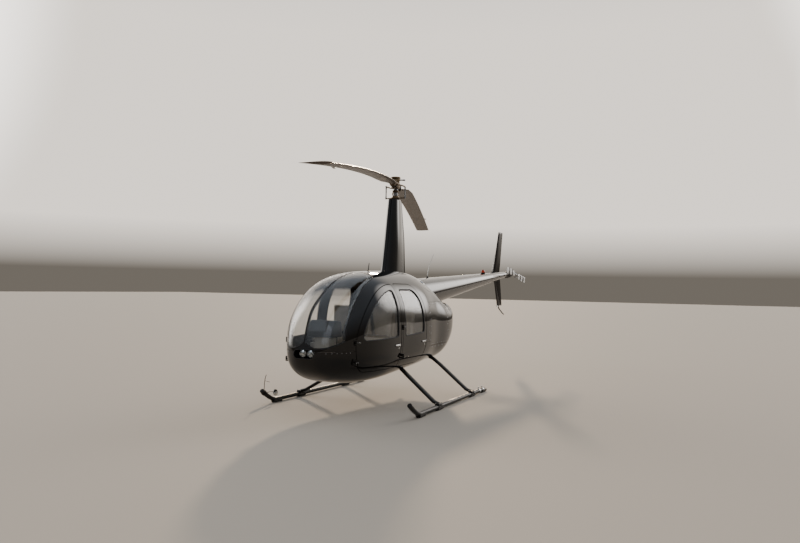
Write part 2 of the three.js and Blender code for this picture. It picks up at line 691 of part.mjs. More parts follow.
// Mast fairing: a teardrop column. Columns: z, x of its nose, x of its tail, thickness.
const FAIRING = [
  [1762, 378, -368, 215],
  [1870, 352, -358, 205],
  [2050, 318, -345, 192],
  [2330, 266, -322, 178],
  [2640, 220, -264, 155],
  [FAIRING_TOP_Z, 176, -206, 132]
]
const fairingRings = FAIRING.map(([z, noseX, tailX, thickness]) => wingOutline(9).map(([share, half]) =>
  new THREE.Vector3(noseX + share * (tailX - noseX), half * thickness, z)))
const boreRadius = SHAFT_RADIUS + 8
const shaftBore = bar([0, 0, FAIRING_TOP_Z - 260], [0, 0, FAIRING_TOP_Z + 100], boreRadius, boreRadius, 24)
add('mast_fairing', toSolid(loft(fairingRings)).subtract(shaftBore).subtract(fuselageForm(-TOUCH_GAP)), paint)

// The fixed swashplate ring stands on the fairing, and the shaft turns in it.
const collarZ = FAIRING_TOP_Z + TOUCH_GAP
const swashBore = SHAFT_RADIUS + TOUCH_GAP
const swashRing = bar([0, 0, collarZ], [0, 0, collarZ + 22], 62, 62, 24)
  .subtract(bar([0, 0, collarZ - 50], [0, 0, collarZ + 60], swashBore, swashBore, 24))
add('swashplate', swashRing, castMetal)

// Everything that turns with the main rotor is drawn with the near blade along x, then turned.
const rotorTurn = new THREE.Matrix4().makeRotationZ(ROTOR_AZIMUTH)
const turned = solid => toSolid(toGeometry(solid).applyMatrix4(rotorTurn))

// Height of a blade's middle at a radius: the teeter tilts the pair, and the droop grows outward.
function bladeZ (radius, side) {
  return HUB_Z - side * ROTOR_TEETER * radius - BLADE_DROOP * (radius / ROTOR_RADIUS) ** BLADE_DROOP_POWER
}

function mainBlade (side) {
  const rings = []
  const middles = [900, 1500, 2100, 2700, 3300, 3900, 4500]
  const stations = [BLADE_ROOT, BLADE_ROOT + 60, ...middles, ROTOR_RADIUS - 40, ROTOR_RADIUS]
  stations.forEach((radius, i) => {
    const chord = BLADE_CHORD * (ROOT_CHORD_SHARES[i] ?? 1)
    const pitch = BLADE_PITCH * Math.min(1, 1.25 * (1 - radius / ROTOR_RADIUS))
    rings.push(wingOutline(6).map(([share, half]) => {
      const ahead = chord * (BLADE_NOSE_SHARE - share)
      return new THREE.Vector3(side * radius, side * ahead,
        bladeZ(radius, side) + half * BLADE_THICKNESS + ahead * Math.tan(pitch))
    }))
  })
  return toSolid(loft(rings))
}

const yoke = [[BLADE_ROOT + 20, 34, 16], [330, 40, 24], [200, 52, 36], [0, 56, 44]]
const shaftRadius = SHAFT_RADIUS - 3
let hub = bar([0, 0, FAIRING_TOP_Z - 250], [0, 0, HUB_TOP_Z - 60], shaftRadius, shaftRadius, 20)
hub = hub.add(bar([0, 0, HUB_TOP_Z - 28], [0, 0, HUB_TOP_Z], 74, 72, 20))
hub = hub.add(box([-66, -60, HUB_Z - 40], [66, 60, HUB_TOP_Z - 27]))
const teeterZ = HUB_TOP_Z - 45
hub = hub.add(bar([0, -146, teeterZ], [0, 146, teeterZ], 14, 14, 10))
const yokeRow = side => ([radius, across, tall]) => [side * radius, 0, bladeZ(radius, side), tall, across]
hub = hub.add(swept([...yoke.map(yokeRow(1)), ...yoke.slice(0, 3).reverse().map(yokeRow(-1))], 10))
const upperSwashZ = collarZ + 22 + TOUCH_GAP
hub = hub.add(bar([0, 0, upperSwashZ], [0, 0, upperSwashZ + 18], 72, 72, 18))
for (const side of [1, -1]) {
  const [linkX, linkY] = PITCH_LINK.map(value => side * value)
  const armZ = upperSwashZ + 10
  const hornZ = bladeZ(330, side) - 14
  hub = hub.add(bar([side * 8, side * 50, armZ], [linkX, linkY, armZ], 10, 10, 8))
  hub = hub.add(bar([linkX, linkY, armZ - 8], [linkX, linkY, hornZ + 8], 9, 9, 8))
  hub = hub.add(bar([linkX, linkY, hornZ], [side * 130, side * 140, hornZ + 4], 11, 11, 8))
  hub = hub.add(bar([side * 120, side * 143, hornZ + 4], [side * 350, side * 24, hornZ + 12], 12, 12, 8))
}
const hubEnd = BLADE_ROOT - TOUCH_GAP
hub = hub.intersect(box([-hubEnd, -FAR, 0], [hubEnd, FAR, FAR]))
add('rotor_hub', turned(hub), castMetal)
for (const [name, side] of [['rotor_blade_near', 1], ['rotor_blade_far', -1]]) {
  add(name, turned(mainBlade(side)), bladePaint)
}

// Tail cone, with its gearbox at the end.
const coneInside = coneSolid(CONE_FRONT.x + 50, CONE_REAR.x + 60, -CONE_WALL)
add('tail_cone', coneSolid(CONE_FRONT.x, CONE_REAR.x, 0).subtract(coneInside), paint)
const gearboxX = CONE_REAR.x
const conePast = coneSolid(CONE_FRONT.x, CONE_REAR.x - TOUCH_GAP, TOUCH_GAP)
const gearbox = bar([gearboxX + 5, 0, CONE_REAR.z], [gearboxX - 110, 0, CONE_REAR.z], 64, 54, 14)
  .add(bar([gearboxX - 100, 0, CONE_REAR.z], [TAIL_HUB.x - 70, 0, TAIL_HUB.z], 46, 58, 14))
  .add(bar([TAIL_HUB.x, -52, TAIL_HUB.z], [TAIL_HUB.x, 92, TAIL_HUB.z], 72, 46, 14))
  .add(bar([TAIL_HUB.x - 20, 0, TAIL_HUB.z], [TAIL_HUB.x - 90, 0, TAIL_HUB.z], 62, 30, 14))
add('tail_gearbox', gearbox.subtract(conePast), castMetal)

// Tail rotor: drawn with its blades along x, then turned to where it is parked.
let tailHub = bar([0, 92 + TOUCH_GAP - TAIL_HUB.y, 0], [0, 34, 0], 19, 19, 16)
tailHub = tailHub.add(box([-150, -16, -24], [150, 16, 24]))
tailHub = tailHub.add(bar([0, -46, 0], [0, -60, 0], 52, 52, 20))
const tailRings = [[-TAIL_ROTOR_RADIUS, 0.96], [-TAIL_ROTOR_RADIUS + 20, 1], [-210, 1], [-150.3, 0.5]]
const parked = new THREE.Matrix4().makeRotationY(TAIL_ROTOR_PARK).setPosition(TAIL_HUB)
const placedAtTail = solid => toSolid(toGeometry(solid).applyMatrix4(parked))
add('tail_rotor_hub', placedAtTail(tailHub), steel)
for (const [name, side] of [['tail_blade_fore', -1], ['tail_blade_aft', 1]]) {
  const rings = tailRings.map(([x, share]) => wingOutline(5).map(([along, half]) =>
    new THREE.Vector3(side * x, half * 15, side * share * TAIL_BLADE_CHORD * (0.4 - along))))
  add(name, placedAtTail(toSolid(loft(rings))), bladePaint)
}

// Fins and stabiliser. Columns: place along the span, x of the leading edge, chord, thickness.
function finSolid (rows, place) {
  return toSolid(loft(rows.map(([span, leadX, chord, thickness]) => wingOutline(6).map(([along, half]) =>
    place(leadX - along * chord, half * thickness, span)))))
}

const upright = (x, across, span) => new THREE.Vector3(x, FIN_Y + across, span)
add('upper_fin', finSolid([[1985, -5215, 470, 42], [2200, -5310, 440, 40], [2600, -5470, 370, 34],
  [2880, -5585, 320, 28], [2905, -5610, 285, 18]], upright), paint)
let lowerFin = finSolid([[1240, -5560, 330, 24], [1262, -5540, 355, 30], [1600, -5400, 410, 36],
  [1845, -5290, 450, 40]], upright)
const guardRadius = 13
const guardPath = [[-5640, 1290], [-5648, 1225], [-5700, 1175], [-5790, 1137], [-5910, 1085], [-6070, 1034]]
lowerFin = lowerFin.add(swept(guardPath.map(([x, z]) => [x, FIN_Y, z, guardRadius, guardRadius]), 10))
add('lower_fin', lowerFin, paint)

// The fins' root block is clamped to the side of the tail cone, and carries the stabiliser.
const rootBlock = box([-5640, FIN_Y - 20, 1845 + TOUCH_GAP], [-5260, -20, 1985 - TOUCH_GAP])
add('fin_root', rootBlock.subtract(conePast), paint)
const flat = (x, thick, span) => new THREE.Vector3(x, span, 1915 + thick)
const stabiliserRows = [
  [FIN_Y - 20 - TOUCH_GAP, -5290, 360, 40],
  [-880, -5330, 320, 34],
  [-905, -5350, 285, 20]
]
add('stabiliser', finSolid(stabiliserRows, flat), paint)

// Lights and aerials.
const beaconX = -4170
const coneTop = x => coneAt(x).z + coneAt(x).radius
add('beacon', bar([beaconX, 0, coneTop(beaconX) - 20], [beaconX, 0, coneTop(beaconX) + 25], 45, 45, 20)
  .add(bar([beaconX, 0, coneTop(beaconX) + 24], [beaconX, 0, coneTop(beaconX) + 85], 42, 24, 20))
  .subtract(conePast), redGlass)

// Whip aerials that stand on the tail cone. Columns: name, x of the foot, x and z of the tip.
const WHIPS = [
  ['aerial_front', -1263, -1534, 2189],
  ['aerial_rear', -4780, -4971, 2356]
]
for (const [name, footX, tipX, tipZ] of WHIPS) {
  const footZ = coneTop(footX)
  const bendX = footX + 0.26 * (tipX - footX)
  const bendZ = footZ + 0.45 * (tipZ - footZ)
  const rod = swept([[footX, 0, footZ - 12, 7, 7], [bendX, 0, bendZ, 5, 5], [tipX, 0, tipZ, 3, 3]], 6)
  const foot = bar([footX, 0, footZ - 14], [footX, 0, footZ + 34], 26, 9, 12)
  add(name, rod.add(foot).subtract(conePast), blackTube)
}

// Seats: front and rear rows. Columns: name, x of the seat's back edge, depth, z of its base's top,
// z of its back's top.
const ROWS = [
  ['front', 945, 600, 860, 1375],
  ['rear', 190, 620, 790, 1390]
]
const seatHalfWidth = 225
const seatY = 270
for (const [name, backX, depth, baseTop, backTop] of ROWS) {
  const base = box([backX, -seatY - seatHalfWidth, FLOOR_Z + FLOOR_THICKNESS + TOUCH_GAP],
    [backX + depth - 30, seatY + seatHalfWidth, baseTop]).intersect(floorForm)
  add(`seat_base_${name}`, base, trim)
  for (const side of [1, -1]) {
    const sideName = side > 0 ? 'port' : 'starboard'
    const y = side * seatY
    const cushion = [[backX + 95, baseTop + TOUCH_GAP], [backX + depth, baseTop + TOUCH_GAP],
      [backX + depth, baseTop + 95], [backX + 95, baseTop + 80]]
    add(`seat_cushion_${name}_${sideName}`,
      sidePrism(cushion, y - seatHalfWidth + 10, y + seatHalfWidth - 10, 20), leather)
    const back = [[backX + 10, baseTop + TOUCH_GAP], [backX + 94, baseTop + TOUCH_GAP],
      [backX + 50, backTop], [backX - 36, backTop]]
    add(`seat_back_${name}_${sideName}`,
      sidePrism(back, y - seatHalfWidth + 15, y + seatHalfWidth - 15, 20), leather)
  }
}

// Instrument console on its pedestal, and the shared cyclic stick.
const consoleFoot = FLOOR_Z + FLOOR_THICKNESS + TOUCH_GAP
const consoleSolid = box([1820, -105, consoleFoot], [2010, 105, 1060])
  .add(sidePrism([[1800, 980], [1835, 1175], [1980, 1190], [2090, 1060], [2060, 980]], -185, 185, 15))
add('instrument_console', consoleSolid, trim)
const stick = bar([1690, 0, consoleFoot + 14], [1650, 0, 1010], 16, 16, 12)
  .add(bar([1690, 0, consoleFoot], [1690, 0, consoleFoot + 30], 34, 26, 12))
  .add(bar([1650, -300, 1030], [1650, 300, 1030], 13, 13, 12))
add('cyclic_stick', stick.add(bar([1650, 0, 990], [1650, 0, 1050], 24, 24, 12)), blackTube)

// The origin is on the ground, under the middle of the machine's length.
const mastX = -(extent.min.x + extent.max.x) / 2
helicopter.position.set(mastX, 0, 0)
const machine = new THREE.Group()
machine.add(helicopter)

export default machine
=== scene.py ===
"""Light helicopter on skids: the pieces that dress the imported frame, and the studio around it.

The file is laid out as an add-on: property groups hold the sizes and colours that a user would
change, each operator makes a piece or a group of like pieces, and main() calls them in order.
Tables are in millimetres from the main rotor's mast, x forward, y to port and z up from the
ground, and metres() moves them into the part's own frame."""
import json
import math
from functools import cache

import bpy
import numpy as np
from bpy.props import FloatProperty, PointerProperty, StringProperty
from bpy.types import Mesh, Operator, Panel, PropertyGroup
from mathutils import Matrix, Vector


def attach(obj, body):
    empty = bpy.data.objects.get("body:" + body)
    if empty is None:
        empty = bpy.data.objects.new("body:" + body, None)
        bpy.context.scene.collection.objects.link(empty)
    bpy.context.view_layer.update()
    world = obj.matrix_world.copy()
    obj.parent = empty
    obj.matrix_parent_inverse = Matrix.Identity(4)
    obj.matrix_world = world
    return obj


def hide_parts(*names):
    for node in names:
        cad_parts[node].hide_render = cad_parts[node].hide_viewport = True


bl_info = {
    "name": "Light helicopter",
    "version": (1, 0, 0),
    "blender": (4, 5, 0),
    "location": "View3D > Sidebar > Helicopter",
    "description": "Dresses the solids of a light helicopter on skids and lights them in a plain studio",
    "category": "Object",
}

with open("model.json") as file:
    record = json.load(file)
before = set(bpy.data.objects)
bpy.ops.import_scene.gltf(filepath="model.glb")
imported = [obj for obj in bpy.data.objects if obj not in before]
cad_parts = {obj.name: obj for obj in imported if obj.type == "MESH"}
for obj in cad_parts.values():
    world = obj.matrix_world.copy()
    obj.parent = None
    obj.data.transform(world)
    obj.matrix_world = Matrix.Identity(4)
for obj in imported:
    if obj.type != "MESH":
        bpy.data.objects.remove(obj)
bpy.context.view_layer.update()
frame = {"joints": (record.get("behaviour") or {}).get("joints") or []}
JOINTS = {joint["name"]: joint for joint in frame["joints"]}
MAST_X = JOINTS["main_rotor_spin"]["pos_m"][0]
SIDES = (("port", 1), ("starboard", -1))
FORWARD, ACROSS, UP, MAST = (1, 0, 0), (0, 1, 0), (0, 0, 1), (0, 0, 0)
MM = 0.001


def metres(points):
    """Millimetres from the mast, as metres in the part's frame."""
    moved = np.array(points, float) * MM
    moved[..., 0] += MAST_X
    return moved


# Curves and surfaces


def spline(knots, rows, at, level_ends=()):
    """The cubic curve through rows, one per knot, at the places in at. Its second derivatives solve
    the usual three-term system and vanish at both ends, except that the columns in level_ends start
    and end with no slope."""
    knots = np.asarray(knots, float)
    rows = np.asarray(rows, float).reshape(len(knots), -1)
    gap = np.diff(knots)
    slope = np.diff(rows, axis=0) / gap[:, None]
    system = np.diag(np.concatenate([[1], 2 * (gap[:-1] + gap[1:]), [1]]))
    system += np.diag(np.append(gap[:-1], 0), -1) + np.diag(np.append(0, gap[1:]), 1)
    right = np.zeros_like(rows)
    right[1:-1] = 6 * np.diff(slope, axis=0)
    bend = np.linalg.solve(system, right)
    if level_ends:
        system[0, :2] = 2 * gap[0], gap[0]
        system[-1, -2:] = gap[-1], 2 * gap[-1]
        right[0] = 6 * slope[0]
        right[-1] = -6 * slope[-1]
        columns = list(level_ends)
        bend[:, columns] = np.linalg.solve(system, right)[:, columns]
    at = np.asarray(at, float)
    start = np.clip(np.searchsorted(knots, at, side="right") - 1, 0, len(gap) - 1)
    width = gap[start][:, None]
    share = (at[:, None] - knots[start][:, None]) / width
    rest = 1 - share
    return (rest * rows[start] + share * rows[start + 1]
            + ((rest ** 3 - rest) * bend[start] + (share ** 3 - share) * bend[start + 1]) * width ** 2 / 6)


def distances(points):
    """How far along a path each of its points lies."""
    return np.concatenate([[0], np.cumsum(np.linalg.norm(np.diff(points, axis=0), axis=1))])


def smooth_path(points, count):
    """count points along the smooth curve through points, evenly spaced by distance."""
    points = np.asarray(points, float)
    along = distances(points)
    return spline(along, points, np.linspace(0, along[-1], count))


def xyz(x, y, z):
    """Points from three coordinates, each an array or one number for all."""
    return np.stack(np.broadcast_arrays(x, y, z), -1)


def unit(vectors):
    """Vectors brought to length one."""
    return vectors / np.linalg.norm(vectors, axis=-1, keepdims=True)


def signed_power(value, power):
    """A cosine or sine raised to a power, its sign kept, which squares a circle."""
    return np.sign(value) * np.abs(value) ** power


def grid_faces(rows, columns):
    """Four-sided faces between neighbouring rows of a grid, closed round its columns."""
    i, j = np.meshgrid(np.arange(rows - 1), np.arange(columns), indexing="ij")
    k = (j + 1) % columns
    corners = [i * columns + j, i * columns + k, (i + 1) * columns + k, (i + 1) * columns + j]
    return np.stack(corners, -1).reshape(-1, 4)


def volume(points, faces):
    """The volume inside triangles, negative where they face inwards."""
    a, b, c = (points[faces[:, n]] for n in range(3))
    return np.einsum("ij,ij->", a, np.cross(b, c)) / 6


def closed(rings, poles=None):
    """A closed skin through rings of points, with a fan of triangles to a pole at each end. The
    poles are the rings' middles unless they are given."""
    rings = np.asarray(rings)
    rows, columns, _ = rings.shape
    if poles is None:
        poles = rings[[0, -1]].mean(axis=1)
    points = np.concatenate([rings.reshape(-1, 3), poles])
    quads = grid_faces(rows, columns)
    column = np.arange(columns)
    after = (column + 1) % columns
    first = np.stack([np.full(columns, rows * columns), after, column], -1)
    base = (rows - 1) * columns
    last = np.stack([np.full(columns, rows * columns + 1), base + column, base + after], -1)
    triangles = np.concatenate([quads[:, [0, 1, 2]], quads[:, [0, 2, 3]], first, last])
    if volume(points, triangles) < 0:
        quads, first, last = quads[:, ::-1], first[:, ::-1], last[:, ::-1]
    return points, quads.tolist() + first.tolist() + last.tolist()


def tube(path, across, sides=16, guide=(0, 0, 1), power=2.0):
    """A closed tube: an ellipse carried along a path. across is its radius, or its half widths along
    the guide and square to it, once for the whole path or for each point, and power makes it squarer,
    as |cos|^(2/power)."""
    path = np.asarray(path, float)
    across = np.broadcast_to(np.asarray(across, float), (len(path), 2))
    direction = unit(np.gradient(path, axis=0))
    first = unit(guide - (direction @ guide)[:, None] * direction)
    second = np.cross(direction, first)
    angle = (np.arange(sides) + 0.5) * 2 * np.pi / sides
    c, s = (signed_power(value, 2 / power) for value in (np.cos(angle), np.sin(angle)))
    return closed(path[:, None] + across[:, :1, None] * first[:, None] * c[:, None]
                  + across[:, 1:, None] * second[:, None] * s[:, None])


def turned(profile, centre, axis, sides=32):
    """A closed solid of revolution: a profile of (distance along the axis, radius), carried round
    the axis through centre."""
    profile = np.asarray(profile, float)
    axis = unit(np.asarray(axis, float))
    guide = np.array(UP if abs(axis[2]) < 0.9 else FORWARD)
    first = unit(guide - guide.dot(axis) * axis)
    second = np.cross(axis, first)
    angle = np.arange(sides) * 2 * np.pi / sides
    spoke = np.cos(angle)[:, None] * first + np.sin(angle)[:, None] * second
    return closed(np.asarray(centre, float) + profile[:, :1, None] * axis + profile[:, 1:, None] * spoke)


def rounded_box(low, high, radius, steps=3):
    """A box with rounded edges: rings of a rounded rectangle, drawn in by the same quarter circle
    at the bottom and the top."""
    low, high = np.asarray(low, float), np.asarray(high, float)
    radius = min(radius, 0.49 * (high - low).min())
    middle, half = (low + high) / 2, (high - low) / 2
    quarter = np.linspace(0, np.pi / 2, steps + 1)
    corner = np.concatenate([quarter + n * np.pi / 2 for n in range(4)])
    signs = np.repeat([[1, 1], [-1, 1], [-1, -1], [1, -1]], steps + 1, axis=0)
    outline = np.stack([np.cos(corner), np.sin(corner)], -1)
    rise = np.concatenate([quarter - np.pi / 2, quarter])
    inset = np.cos(rise)
    height = np.sin(rise) * radius + np.repeat([-1, 1], steps + 1) * (half[2] - radius)
    flat = signs * (half[:2] - radius) + radius * inset[:, None, None] * outline
    return closed(xyz(flat[..., 0], flat[..., 1], height[:, None]) + middle)


def rounded(outline, radius, steps=6):
    """An outline whose corners become curves of the second degree, which leave the edges a radius
    away, or nearly half an edge away at a shallow corner."""
    outline = np.asarray(outline, float)
    before, after = np.roll(outline, 1, axis=0) - outline, np.roll(outline, -1, axis=0) - outline
    long_before, long_after = np.linalg.norm(before, axis=1), np.linalg.norm(after, axis=1)
    shallow = np.einsum("ij,ij->i", before, after) / (long_before * long_after) < -0.85
    limit = 0.48 * np.minimum(long_before, long_after)
    reach = np.where(shallow, limit, np.minimum(radius, limit))[:, None]
    enter = outline + before / long_before[:, None] * reach
    leave = outline + after / long_after[:, None] * reach
    t = np.linspace(0, 1, steps + 1)[None, :, None]
    curve = (1 - t) ** 2 * enter[:, None] + 2 * t * (1 - t) * outline[:, None] + t ** 2 * leave[:, None]
    return curve.reshape(-1, 2)


def grown(outline, distance):
    """A convex outline with every edge moved outwards."""
    outline = np.asarray(outline, float)
    edge = np.roll(outline, -1, axis=0) - outline
    x, y = outline.T
    side = np.sign(np.sum(x * np.roll(y, -1) - np.roll(x, -1) * y))
    normal = side * unit(np.stack([edge[:, 1], -edge[:, 0]], -1))
    before = np.roll(normal, 1, axis=0)
    return outline + distance * (normal + before) / (1 + np.einsum("ij,ij->i", normal, before))[:, None]


def prism(outline, low, high, axis):
    """A closed prism: an outline drawn square to an axis (0 front view as y and z, 1 side view as x
    and z, 2 top view as x and y), carried from low to high along it. Its ends are flat polygons."""
    outline = np.asarray(outline, float)
    count = len(outline)
    rings = np.zeros((2, count, 3))
    rings[:, :, [n for n in range(3) if n != axis]] = outline
    rings[0, :, axis], rings[1, :, axis] = low, high
    points = rings.reshape(-1, 3)
    x, y = outline.T
    clockwise = np.sum(x * np.roll(y, -1) - np.roll(x, -1) * y) < 0
    if clockwise != (axis == 1):
        points = rings[:, ::-1].reshape(-1, 3)
    quads = grid_faces(2, count)
    ends = [list(range(count))[::-1], list(range(count, 2 * count))]
    return points, quads.tolist() + ends


def rectangle(a, b, c, d):
    """The outline of a rectangle from the corner (a, b) to the corner (c, d)."""
    return [[a, b], [c, b], [c, d], [a, d]]


def box(low, high):
    """A plain box between two corners."""
    return prism(rectangle(*low[:2], *high[:2]), low[2], high[2], 2)


def on_side(part, side):
    """A skin drawn on the port side, or its mirror image where side is -1."""
    points, faces = part
    return part if side > 0 else (points * [1, -1, 1], [face[::-1] for face in faces])


def joined(*parts):
    """Several skins as one list of points and faces."""
    points, faces, start = [], [], 0
    for some, their_faces in parts:
        points.append(np.asarray(some, float))
        faces += [[index + start for index in face] for face in their_faces]
        start += len(some)
    return np.concatenate(points), faces


# The fuselage's skin

# Cross sections from nose to stern: x, z of the keel, z of the crown, half width, z of the widest
# line, fullness above it, fullness below it.
SECTIONS = np.array([
    [2425, 790, 790, 1, 790, 2.2, 2.2],
    [2412, 735, 862, 100, 792, 2.2, 2.3],
    [2383, 668, 985, 178, 800, 2.1, 2.4],
    [2333, 597, 1150, 262, 830, 2.05, 2.6],
    [2250, 530, 1316, 345, 870, 2.1, 2.7],
    [2100, 462, 1454, 447, 920, 2.2, 2.8],
    [1900, 415, 1588, 535, 970, 2.3, 3],
    [1650, 388, 1708, 600, 1010, 2.45, 3.2],
    [1300, 382, 1795, 635, 1040, 2.5, 3.4],
    [900, 400, 1830, 638, 1050, 2.35, 3.4],
    [450, 430, 1847, 636, 1050, 2.2, 3.4],
    [0, 452, 1848, 613, 1050, 2.15, 3.3],
    [-400, 472, 1790, 562, 1050, 2.1, 3.2],
    [-800, 490, 1615, 545, 1050, 2.2, 3.1],
    [-1120, 548, 1440, 503, 1060, 2.4, 2.7],
    [-1310, 645, 1400, 453, 1080, 2.9, 2.45],
    [-1450, 810, 1345, 335, 1090, 3, 2.25],
    [-1512, 1080, 1080, 1, 1080, 2.2, 2.2],
])
LAST_SECTION = len(SECTIONS) - 1
# The section at the cabin, whose outline spaces the points of every ring. Curves that are read off
# again are first worked out at the FINE number of places.
CABIN_SECTION, RING_POINTS, FINE = SECTIONS[9], 160, 4001
DENSE = spline(np.arange(len(SECTIONS)), SECTIONS, np.linspace(0, LAST_SECTION, FINE), level_ends=(0,))


def section(x):
    """Keel, crown, half width, level and the two powers of the section at x, never quite a point."""
    keel, crown, half, level, upper, lower = (np.interp(-x, -DENSE[:, 0], DENSE[:, n]) for n in range(1, 7))
    least = 5.0
    return (np.minimum(keel, level - least), np.maximum(crown, level + least), np.maximum(half, least),
            level, upper, lower)


def skin_y(x, z):
    """Half width of the skin at x and z: w (1 - |(z - level) / reach|^n)^(1/n)."""
    x, z = np.broadcast_arrays(np.asarray(x, float), np.asarray(z, float))
    keel, crown, half, level, upper, lower = section(x)
    above = z > level
    reach = np.where(above, crown - level, level - keel)
    power = np.where(above, upper, lower)
    share = np.clip(np.abs(z - level) / reach, 0, 1)
    return half * (1 - share ** power) ** (1 / power)


def skin_normal(points):
    """Outward normals at points, and each point's distance above the skin, from the gradient of
    |y / w|^n + |(z - level) / reach|^n."""
    x, y, z = np.moveaxis(np.asarray(points, float), -1, 0)
    above = z > section(x)[3]

    def shares(x):
        keel, crown, half, level, upper, lower = section(x)
        reach = np.where(above, crown - level, level - keel)
        return np.abs(y) / half, (z - level) / reach, half, reach, np.where(above, upper, lower)

    def value(x):
        out, up, _, _, power = shares(x)
        return out ** power + np.abs(up) ** power

    step = 0.5
    out, up, half, reach, power = shares(x)
    gradient = np.stack([(value(x + step) - value(x - step)) / (2 * step),
                         power / half * out ** (power - 1) * np.sign(y),
                         power / reach * np.abs(up) ** (power - 1) * np.sign(up)], -1)
    size = np.maximum(np.linalg.norm(gradient, axis=-1), 1e-9)
    return gradient / size[..., None], (out ** power + np.abs(up) ** power - 1) / size


def ring_angles():
    """Angles whose points lie evenly round the cabin's section."""
    angle = np.linspace(0, 2 * np.pi, FINE)
    _, keel, crown, half, _, power, _ = CABIN_SECTION
    outline = np.stack([half * signed_power(np.cos(angle), 2 / power),
                        (crown - keel) / 2 * signed_power(np.sin(angle), 2 / power)], -1)
    along = distances(outline)
    return np.interp((np.arange(RING_POINTS) + 0.5) * along[-1] / RING_POINTS, along, angle)


def form(depth, per_section=9):
    """The fuselage's closed form, a depth under the skin: rings of |cos|^(2/n) and |sin|^(2/n) at
    places along the fuselage, each point moved inwards along the skin's normal."""
    ends = np.array([0.06, 0.15, 0.3, 0.5, 0.7])
    places = np.concatenate([ends, np.linspace(0.9, LAST_SECTION - 0.9, per_section * (LAST_SECTION - 2)),
                             LAST_SECTION - ends[::-1]])
    x, keel, crown, half, level, upper, lower = (
        np.interp(places, np.linspace(0, LAST_SECTION, FINE), column)[:, None] for column in DENSE.T)
    angles = ring_angles()
    c, s = np.cos(angles)[None], np.sin(angles)[None]
    power = 2 / np.where(s > 0, upper, lower)
    reach = np.where(s > 0, crown - level, level - keel)
    across, height = half * signed_power(c, power), level + reach * signed_power(s, power)
    rings = xyz(x, across, height)
    nose, stern = SECTIONS[0], SECTIONS[-1]
    poles = np.array([[nose[0] - depth, 0, nose[4]], [stern[0] + depth, 0, stern[4]]])
    return closed(rings - depth * skin_normal(rings)[0], poles)


# Meshes


def mesh_of(part):
    """A mesh from points in millimetres from the mast, and faces."""
    mesh = bpy.data.meshes.new("shape")
    mesh.from_pydata(metres(part[0]).tolist(), [], part[1])
    mesh.update()
    return mesh


def added(name, data):
    """A new object in the scene."""
    thing = bpy.data.objects.new(name, data)
    bpy.context.scene.collection.objects.link(thing)
    return thing


def evaluated(thing):
    """An object's mesh with its modifiers applied."""
    bpy.context.view_layer.update()
    return bpy.data.meshes.new_from_object(thing.evaluated_get(bpy.context.evaluated_depsgraph_get()))


def cut(first, second, operation):
    """A mesh from two shapes by one Boolean modifier. A shape is a mesh, or points and faces."""
    holder, cutter = (added("shape", shape if isinstance(shape, Mesh) else mesh_of(shape))
                      for shape in (first, second))
    modifier = holder.modifiers.new("cut", "BOOLEAN")
    modifier.operation, modifier.solver, modifier.object = operation, "MANIFOLD", cutter
    result = evaluated(holder)
    for thing in (holder, cutter):
        bpy.data.objects.remove(thing)
    return result


def less(first, *others):
    """first with every other shape taken out of it."""
    for other in others:
        first = cut(first, other, "DIFFERENCE")
    return first


def common(first, second):
    """What two shapes both hold."""
    return cut(first, second, "INTERSECT")


def array_of(collection, field, width, kind=float):
    """One field of a mesh's vertices, loops or polygons as an array."""
    values = np.zeros(len(collection) * width, kind)
    collection.foreach_get(field, values)
    return values.reshape(-1, width) if width > 1 else values


# A face counts as skin where its corners lie this near to it in mm and its normal is this like its own.
SKIN_TOLERANCE, SKIN_FACING = 1.5, 0.8


def polish(mesh, depths):
    """Gives faces that lie at one of depths under the fuselage's skin the skin's own normals, so that
    reflections run on from one panel into the next without a break."""
    points = array_of(mesh.vertices, "co", 3) / MM
    points[:, 0] -= MAST_X / MM
    normal, distance = skin_normal(points)
    on_skin = np.zeros(len(points), bool)
    for depth in depths:
        on_skin |= np.abs(distance + depth) < SKIN_TOLERANCE
    corner_vertex = array_of(mesh.loops, "vertex_index", 1, int)
    starts = array_of(mesh.polygons, "loop_start", 1, int)
    totals = array_of(mesh.polygons, "loop_total", 1, int)
    face_of_corner = np.repeat(np.arange(len(starts)), totals)
    face_normal = array_of(mesh.polygons, "normal", 3)
    whole = np.minimum.reduceat(on_skin[corner_vertex].astype(int), starts) > 0
    corner_normal = array_of(mesh.corner_normals, "vector", 3)
    facing = np.einsum("ij,ij->i", face_normal[face_of_corner], normal[corner_vertex])
    fits = whole[face_of_corner] & (np.abs(facing) > SKIN_FACING)
    corner_normal[fits] = normal[corner_vertex][fits] * np.sign(facing[fits])[:, None]
    mesh.normals_split_custom_set(corner_normal.tolist())


# Materials


def linear(value):
    """An sRGB colour such as '#1a2b3c' as linear red, green, blue and one."""
    parts = [int(value[n:n + 2], 16) / 255 for n in (1, 3, 5)]
    return tuple(p / 12.92 if p <= 0.04045 else ((p + 0.055) / 1.055) ** 2.4 for p in parts) + (1.0,)


